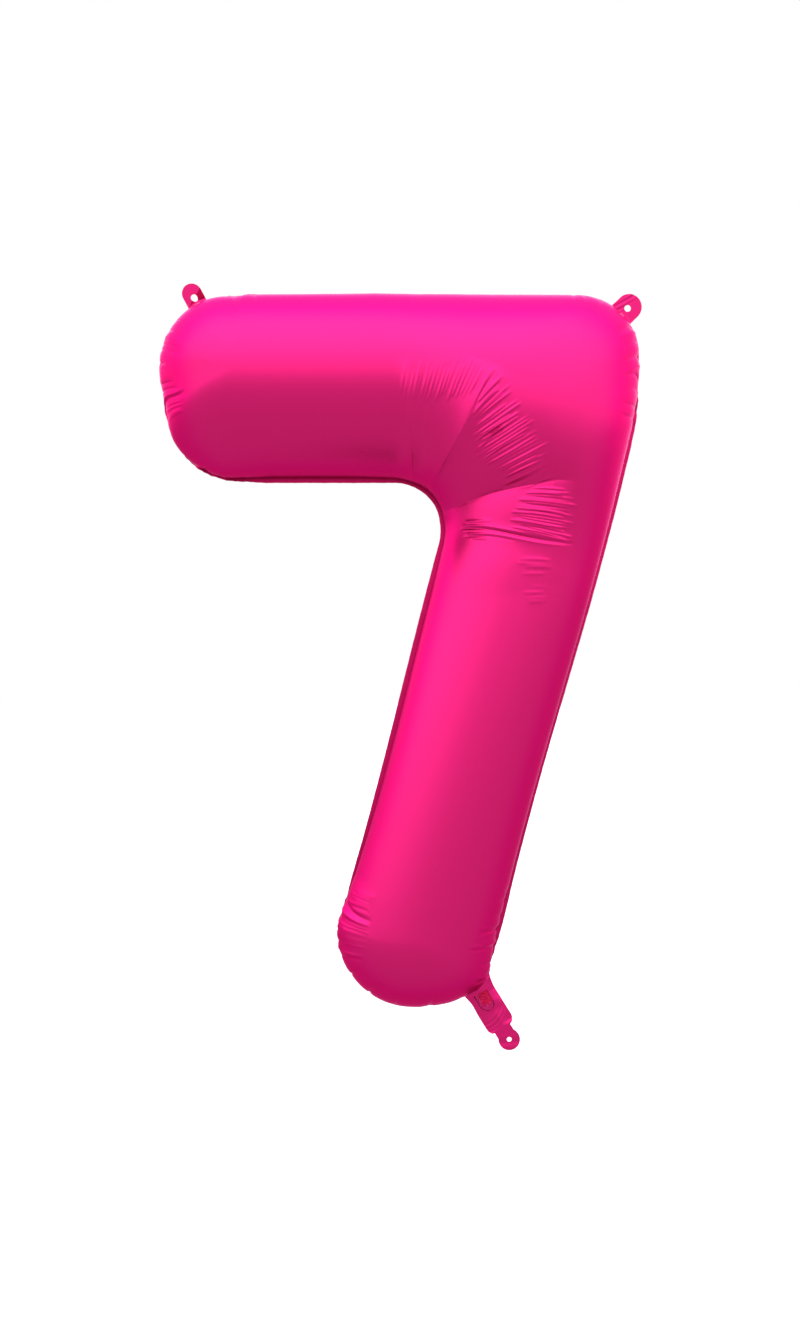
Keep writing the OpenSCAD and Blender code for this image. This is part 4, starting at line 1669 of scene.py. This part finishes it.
FRONT_LINES: tuple[tuple, ...] = (
    (Crease.RIDGE, 2, 9, False, ((-127.5, 793.1), (-123.1, 747.6), (-118.3, 708),
     (-113.9, 672.7))),
    (Crease.PEAK, 1.1, 1.5, False, ((-127.3, 785.5), (-124, 753.1), (-120.6, 717.3),
     (-115.2, 674.9))),
    (Crease.PEAK, 7, 20, False, ((-28.6, 779.6), (-45.8, 747.4), (-58.3, 720.1), (-70.4, 699.8),
     (-79.6, 687.4), (-93.7, 660.8))),
    (Crease.PEAK, 0.8, 1.1, False, ((-30.7, 776.6), (-39.4, 760), (-45.8, 747.4),
     (-51.2, 733.9))),
    (Crease.FOLD, 1.3, 1.3, False, ((-25.7, 775.2), (-35.2, 762.7), (-43.6, 749),
     (-49.9, 734.3))),
    (Crease.PEAK, 0.5, 0.9, False, ((-36.6, 767.1), (-40.6, 756.8), (-42.9, 750.4))),
    (Crease.VALLEY, 10.5, 28, False, ((-77.3, 635.1), (-58.2, 638.4), (-41.4, 642.7), (-14.7, 648),
     (12.4, 650), (33.8, 654.9), (52.5, 662), (66.8, 658.7))),
    (Crease.FOLD, 1.6, 1.8, False, ((-77.3, 635.1), (-58.2, 638.4), (-41.4, 642.7), (-14.7, 648),
     (12.4, 650), (33.8, 654.9), (52.5, 662), (62, 657))),
    (Crease.PEAK, 0.9, 1.5, False, ((-19.7, 647), (-2.5, 648.2), (14.1, 649.2), (23.9, 655),
     (36.8, 659.2), (47.8, 662.7))),
    (Crease.PEAK, 1.2, 1.6, False, ((-17.9, 652.2), (-6.8, 657), (3.5, 660.9), (16.4, 666.9),
     (30.2, 674))),
    (Crease.FOLD, 0.9, 1.6, False, ((-19.9, 649.2), (-6.6, 653.2), (6.2, 657.1), (19.2, 663.5),
     (32, 671))),
    (Crease.PEAK, 1, 1.2, False, ((-51.3, 687.3), (-37.1, 699.9), (-21.2, 713.6), (-2.9, 727.7))),
    (Crease.FOLD, 0.45, 1.2, False, ((-49.4, 684.9), (-35.2, 697.6), (-19, 711.2),
     (-0.8, 725.7))),
    (Crease.PEAK, 1, 1.3, False, ((-50.4, 732.5), (-58.3, 720.1), (-70.4, 699.8), (-79.3, 686.8),
     (-88.9, 667.7))),
    (Crease.PEAK, 1.5, 2, False, ((-62.2, 613.6), (-45.2, 612.9), (-27.3, 608.4), (1.7, 601.8),
     (31.2, 595), (65.8, 592.9))),
    (Crease.FOLD, 1.8, 1.6, False, ((-62.2, 610.1), (-44.6, 609.9), (-27.8, 605.2), (2.1, 597.6),
     (31.6, 591.3), (66.4, 589.6))),
    (Crease.PEAK, 0.8, 1.5, False, ((-58.9, 603.8), (-29.4, 601.7), (-2, 594.9), (25.6, 588.3),
     (56.5, 586.9))),
    (Crease.FOLD, 0.7, 1.3, False, ((-59.1, 600.3), (-30, 598.5), (-2.5, 591.8))),
    (Crease.PEAK, 0.6, 1.3, False, ((-57, 617.4), (-40.4, 617.3), (-27.4, 615))),
    (Crease.FOLD, 2.2, 1.8, True, ((-411.6, 810.8), (-411.8, 808.8), (-401.4, 801.5))),
    (Crease.FOLD, 1.2, 1.8, True, ((-403, 845.1), (-399.8, 844.3), (-376.7, 820.4))),
    (Crease.PEAK, 0.8, 2, True, ((-406.2, 838.6), (-385, 820.3), (-368.2, 806.5))),
    (Crease.FOLD, 1, 1.8, True, ((-410.4, 824.3), (-397.4, 813), (-378.8, 806.6))),
    (Crease.FOLD, 0.9, 1.6, True, ((-408.9, 788.1), (-408.5, 784.5), (-390.5, 777.4))),
    (Crease.FOLD, 0.9, 1.6, True, ((-407.1, 777.5), (-407, 776.8), (-382, 768))),
    (Crease.PEAK, 2.2, 3.5, True, ((-404.5, 761.3), (-404.9, 768.8), (-389.9, 764.7),
     (-377.4, 766.9))),
    (Crease.FOLD, 2.2, 2.6, True, ((-403.4, 755.5), (-405.4, 766.1), (-388.8, 760.7),
     (-376.1, 763.1))),
    (Crease.FOLD, 2.6, 1.8, True, ((-400.3, 735.1), (-400.7, 737.5))),
    (Crease.FOLD, 3.2, 2, True, ((-393.3, 717), (-393.6, 717.9))),
    (Crease.FOLD, 3.4, 2, True, ((-383.6, 704.1), (-379.8, 702.4))),
    (Crease.FOLD, 3.4, 2, True, ((-365, 689.8), (-360.7, 689.3))),
    (Crease.FOLD, 3, 2, True, ((-348, 683), (-344.9, 683))),
    (Crease.FOLD, 1.6, 2, True, ((-321.6, 679.5), (-321.2, 679.4))),
    (Crease.FOLD, 1.6, 2, True, ((-303.8, 678.5), (-303.6, 678.8))),
    (Crease.FOLD, 0.9, 1.6, True, ((-409, 829.8), (-394, 818.7), (-382, 812.1))),
    (Crease.FOLD, 0.6, 1.4, True, ((-394.7, 856.2), (-391, 856.5), (-370, 831.5))),
    (Crease.FOLD, 1, 2.2, True, ((-327, 886.1), (-324.6, 880.9), (-314.5, 856))),
    (Crease.FOLD, 0.8, 2, True, ((-303.1, 889), (-299.6, 877.1), (-294.3, 858.7))),
    (Crease.FOLD, 2.6, 2, True, ((138.1, 849.6), (138.1, 849.9), (116, 829.6))),
    (Crease.PEAK, 1, 2, True, ((141.2, 843.5), (128.4, 832.2), (112.8, 821.9))),
    (Crease.FOLD, 2.6, 2, True, ((146.4, 816.3), (142, 811.3), (119.6, 795.1))),
    (Crease.PEAK, 1.2, 2, True, ((146, 805.1), (137.4, 796), (122.6, 782.4))),
    (Crease.FOLD, 2.4, 2, True, ((146.5, 790.2), (145.2, 793.2), (122.5, 780.2))),
    (Crease.FOLD, 1.4, 2, True, ((145.2, 755.9), (133.1, 751.9), (117.1, 749.6))),
    (Crease.FOLD, 1.4, 2.6, True, ((144.2, 743.6), (130.9, 737.4), (117.3, 736.2))),
    (Crease.FOLD, 1.4, 2.6, True, ((145.5, 829.2), (147.2, 835.7), (123.2, 814))),
    (Crease.FOLD, 1.4, 2.4, True, ((146.6, 774.2), (145.2, 776.4), (125.8, 765.5))),
    (Crease.FOLD, 1, 2.2, True, ((72.1, 888), (69.6, 875.4), (64.1, 852.8))),
    (Crease.FOLD, 1, 2.2, True, ((82.9, 882.1), (85.1, 880.5), (75.8, 852.6))),
    (Crease.FOLD, 1, 2.2, True, ((101.9, 880.3), (104.8, 880.5), (91.4, 852.6))),
    (Crease.PEAK, 2, 2.5, False, ((-189.2, 175.4), (-191.1, 167.5), (-193.2, 158.2),
     (-180.9, 153.7), (-166.4, 152.3))),
    (Crease.FOLD, 1.6, 2, False, ((-188.2, 179.6), (-190.4, 170), (-187.6, 164.4), (-178.6, 158.8),
     (-164, 157.1))),
    (Crease.FOLD, 1.6, 2.2, True, ((-192.3, 162.4), (-192.1, 163.4), (-189.2, 165.3))),
    (Crease.FOLD, 1.6, 2.2, True, ((-195.6, 147.3), (-195.2, 149.1), (-191.3, 152.9))),
    (Crease.FOLD, 1.8, 2.4, True, ((-197.8, 134.6), (-197.7, 135.5), (-190.7, 139.9))),
    (Crease.FOLD, 1.6, 2.2, True, ((-198.2, 124.8), (-198.2, 123.2), (-188.2, 129))),
    (Crease.PEAK, 1.5, 1.8, False, ((-197.6, 117.5), (-193.6, 115.6), (-185.6, 115.7),
     (-174.8, 115.8))),
    (Crease.FOLD, 1.5, 1.8, False, ((-196.9, 112.7), (-195.4, 106.5), (-185.8, 110.3),
     (-173.5, 112.6))),
    (Crease.FOLD, 1.8, 2, True, ((-185.9, 86.6), (-185.7, 86.4), (-176.1, 99.9))),
    (Crease.FOLD, 1.8, 2, True, ((-165.9, 65.9), (-167.2, 67), (-159.6, 85.2))),
    (Crease.FOLD, 1.4, 2, True, ((-136.7, 53.7), (-136.8, 51.6), (-132, 75.3))),
    (Crease.FOLD, 1.2, 2.4, False, ((-165.1, 65.7), (-159.7, 77.2), (-152.5, 85.6))),
    (Crease.FOLD, 1.4, 2.6, True, ((-96.1, 52.5), (-95.3, 54.7), (-92.8, 72.9))),
    (Crease.FOLD, 1.6, 2.4, True, ((-6.2, 176.5), (-7.1, 172.1), (-17.6, 177.6))),
    (Crease.FOLD, 1.6, 2.2, True, ((-10.5, 157.8), (-11.3, 151.7), (-25, 161.6))),
    (Crease.FOLD, 3, 2.2, True, ((-16.1, 137.2), (-24.2, 140.7), (-42.2, 143.1))),
    (Crease.FOLD, 1.2, 1.6, True, ((-15.5, 139.3), (-25.8, 147.7), (-40.2, 153.6))),
    (Crease.FOLD, 1.2, 1.6, True, ((-18.5, 129.1), (-26.6, 134.1), (-42, 134.2))),
    (Crease.PEAK, 1.5, 1.6, True, ((-20.3, 123.4), (-27.6, 126.4), (-43.1, 127.8),
     (-55.6, 128.9))),
    (Crease.FOLD, 1.4, 1.6, True, ((-21.7, 118.9), (-26.8, 119.7), (-42.9, 122.8),
     (-56.6, 125.5))),
    (Crease.FOLD, 1.6, 2.2, True, ((-27.3, 102.7), (-28.7, 97.2), (-41.1, 105.7))),
    (Crease.PEAK, 1, 1.5, True, ((-29.6, 94.6), (-34, 85), (-49.4, 90))),
    (Crease.FOLD, 1.4, 2, True, ((-32, 89), (-36, 82.1), (-47.7, 83.2))),
    (Crease.PEAK, 1.6, 2, True, ((-36.9, 80.7), (-40.9, 75.8), (-45.5, 71), (-51.5, 70))),
    (Crease.FOLD, 1.8, 2.2, True, ((-38.9, 77.9), (-43, 73.3), (-48.6, 68), (-53.9, 64.5))),
)
FRONT_FANS: tuple[Fan, ...] = (
    Fan(((-126.3, 791), (-98.8, 794.5), (-65.5, 794.4), (-31.7, 791.3)), ((-132.9, 747.8),
        (-109.4, 743.2), (-81.9, 742.2), (-56.9, 742.3)),
        18, 1.1, 1.6, 3),
    Fan(((-115.3, 747.5), (-92.9, 744.1)), ((-119.4, 714.2), (-97, 710.5)),
        4, 0.4, 2, 13),
    Fan(((-22.4, 773.9), (-3.7, 753), (9.8, 730.2), (23.1, 710.9), (32.1, 696.1), (36.3, 679.3)),
        ((-46.8, 740.2), (-52.3, 721.8), (-55, 707.3), (-52.8, 689.3), (-44.6, 673.3),
        (-20.4, 655.8)),
        28, 2, 1.35, 5, 0.95),
    Fan(((-1, 649.3), (-9.3, 636.8), (-14.7, 624.1), (-5.7, 604.1)), ((63.9, 648.1), (68.7, 628.8),
        (68, 607.5), (61.2, 588.4)),
        19, 1.7, 1.3, 7, 0.95),
    Fan(((-60, 621.1), (-60, 596.8)), ((-27.6, 617.2), (-30, 592.8)),
        5, 0.9, 1.8, 17),
    Fan(((-1.1, 574), (-3.2, 547.8)), ((44.9, 572.1), (41.4, 550.2)),
        6, 0.6, 1.8, 9),
    Fan(((2.9, 541.9), (3, 518.4)), ((40.1, 542.5), (35.9, 521.3)),
        4, 0.35, 2, 19),
    Fan(((-185.6, 190.1), (-189.6, 173.4), (-188.8, 161.9)), ((-157, 185.4), (-161.7, 173),
        (-164.4, 161.1)),
        8, 0.6, 1.6, 23),
    Fan(((-194.7, 151), (-198.2, 123.2)), ((-164, 148.4), (-168.5, 124.8)),
        7, 0.5, 1.6, 29),
    Fan(((-15.1, 141), (-20.4, 123.4)), ((-47.6, 156), (-46.8, 126.6)),
        7, 0.5, 1.4, 31),
    Fan(((-148.3, 327), (-159.1, 285.6), (-172.5, 236.4), (-182.8, 200.4)), ((-148.4, 326.5),
        (-159.1, 285.6), (-172.2, 237.2), (-182, 203.3)),
        15, 0.35, 2.2, 37),
    Fan(((-401, 847.7), (-409.1, 828.5)), ((-380.2, 828.9), (-384.5, 808.4)),
        5, 0.5, 1.8, 41),
    Fan(((-405.3, 765.5), (-400.8, 738.9)), ((-377.8, 758.2), (-376.3, 741.1)),
        5, 0.5, 1.8, 43),
    Fan(((140.3, 844.9), (146.1, 824.1)), ((124.9, 834), (125.8, 811.4)),
        5, 0.5, 1.6, 47),
)


def front_strokes() -> list[Stroke]:
    """Works out the creases of the front sheet.

    Returns:
        The creases.
    """
    made = [Stroke(*line) for line in FRONT_LINES]
    for fan in FRONT_FANS:
        made += fan.strokes()
    return made


def back_strokes() -> list[Stroke]:
    """Works out the creases of the back sheet: the same strains as in front, otherwise folded.

    Returns:
        The creases.
    """
    left_out, moved, weakest, other_fans = 0.25, 4.0, 0.6, 100
    rng = np.random.default_rng(71)
    made = []
    for line in FRONT_LINES:
        stroke = Stroke(*line)
        if rng.random() < left_out and not stroke.from_rim:
            continue
        dx, dz = rng.uniform(-moved, moved, 2)
        points = tuple((x + dx, z + dz) for x, z in stroke.points)
        height = stroke.height * rng.uniform(weakest, 1.0)
        made.append(Stroke(stroke.kind, height, stroke.width, stroke.from_rim, points))
    for fan in FRONT_FANS:
        made += fan.strokes(seed_step=other_fans)
    return made


def edge_puckers(outline: DigitOutline, seed: int) -> list[PuckerRow]:
    """Works out the gathers along the outward roundings of the rim.

    Args:
        outline: the digit's outline.
        seed: picks one of many such sets.

    Returns:
        One row for each rounding.
    """
    length = 18.0
    run = rim_run(shaped_rim(outline, outline.rim_width))
    ends = section_ends(outline)
    s = [float(run[min(k, len(run) - 1)]) for k in ends]
    shoulder = float(run[ends[6] + 80])
    return [
        PuckerRow(s[0] + 10, s[1] - 5, 15.0, length, 0.2, seed),
        PuckerRow(s[4] + 5, s[5] - 5, 14.0, length, 0.4, seed + 1),
        PuckerRow(shoulder, s[7] - 20, 15.0, length, 0.25, seed + 2),
    ]


def report(obj: bpy.types.Object) -> None:
    """Tells that a piece is done."""
    LOG.info("%s: %d faces", obj.name, len(obj.data.polygons))


def build_sheets(outline: DigitOutline, foil: bpy.types.Material) -> None:
    """Builds the two inflated sheets.

    Args:
        outline: the digit's outline.
        foil: their finish.
    """
    for side, name, strokes, seed in (
        (Side.FRONT, "front_foil", front_strokes(), 21),
        (Side.BACK, "back_foil", back_strokes(), 57),
    ):
        sheet = InflatedSheet(outline, side, strokes, edge_puckers(outline, seed))
        obj = sheet.build(name + "_inflated")
        dress(obj, foil)
        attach(obj, "balloon")
        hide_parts(name)
        report(obj)


def build_flat_film(tail: Tail, film: bpy.types.Material) -> None:
    """Builds the two hang tabs, the tail's two plies and the ribbon tab.

    Args:
        tail: the tail's sizes.
        film: their finish.
    """
    for tab in (
        HangTab("hang_tab_left_sealed", "left_tab", "hang_tab_left", (-380.6, 895.7), 118.0,
                12.0, 17.0, 19.0, (2.0, 6.0), hinge_reach=5.7, fold=-60.0, falls=(0.8, 0.0),
                tilt=0.14),
        HangTab("hang_tab_right_sealed", "right_tab", "hang_tab_right", (143.0, 882.8), 44.0,
                15.5, 17.5, 22.0, (5.0, 2.0), hinge_reach=8.8, fold=136.0, falls=(-0.1, 0.1),
                crinkle=0.5),
    ):
        obj = tab.build()
        dress(obj, film)
        tab.place(obj)
        report(obj)

    for front in (True, False):
        side = "front" if front else "back"
        obj = tail.ply_object(f"tail_{side}_sheet", front)
        dress(obj, film)
        tail.blend(obj)
        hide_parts(f"throat_{side}_ply", f"tail_{side}_ply")
        if not front:
            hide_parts("throat_side_seals")
        report(obj)

    ribbon = RibbonTab(tail)
    obj = ribbon.build()
    dress(obj, film)
    ribbon.place(obj)
    report(obj)


def build_valve(tail: Tail) -> None:
    """Builds the two clear films inside the tail and the ink between them.

    Args:
        tail: the tail's sizes.
    """
    clear = ClearFilmFinish("clear valve film").material()
    ink = InkFinish("release ink").material()
    for strip, finish, slot in (
        (ValveStrip(tail, "valve_film_front_clear", "valve_film_front", -0.05),
         clear, "clear_film"),
        (ValveStrip(tail, "valve_film_back_clear", "valve_film_back", 0.12),
         clear, "clear_film"),
        (ValveStrip(tail, "valve_release_ink", "valve_release_strip", 0.03, 50.5, 101.0, 7.2,
                    0.05, 0.5, 2.6), ink, "release_ink"),
    ):
        obj = strip.build()
        dress(obj, finish)
        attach(obj, "balloon")
        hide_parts(strip.node)
        report(obj)


def main() -> None:
    """Builds the balloon, dresses it and sets up the studio."""
    logging.basicConfig(level=logging.INFO, format="%(message)s")
    outline = DigitOutline()
    build_sheets(outline, FilmFinish("satin pink film").material())

    rim = SeamRim(outline).build()
    # The seam strip gets a darker pink than the foil: painted shade, standing in for the shade the
    # bulging body throws on the flat rim.
    seal = FilmFinish("sealed pink film with painted shade", colour=(0.25, 0.004, 0.05), roughness=0.42)
    dress(rim, seal.material())
    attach(rim, "balloon")
    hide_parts("seam_rim")
    report(rim)

    tail = Tail()
    build_flat_film(tail, FilmFinish("flat pink film", grain=0.04).material())
    build_valve(tail)

    studio = Studio()
    studio.camera()
    studio.floor()
    studio.sky()


if __name__ == "__main__":
    main()
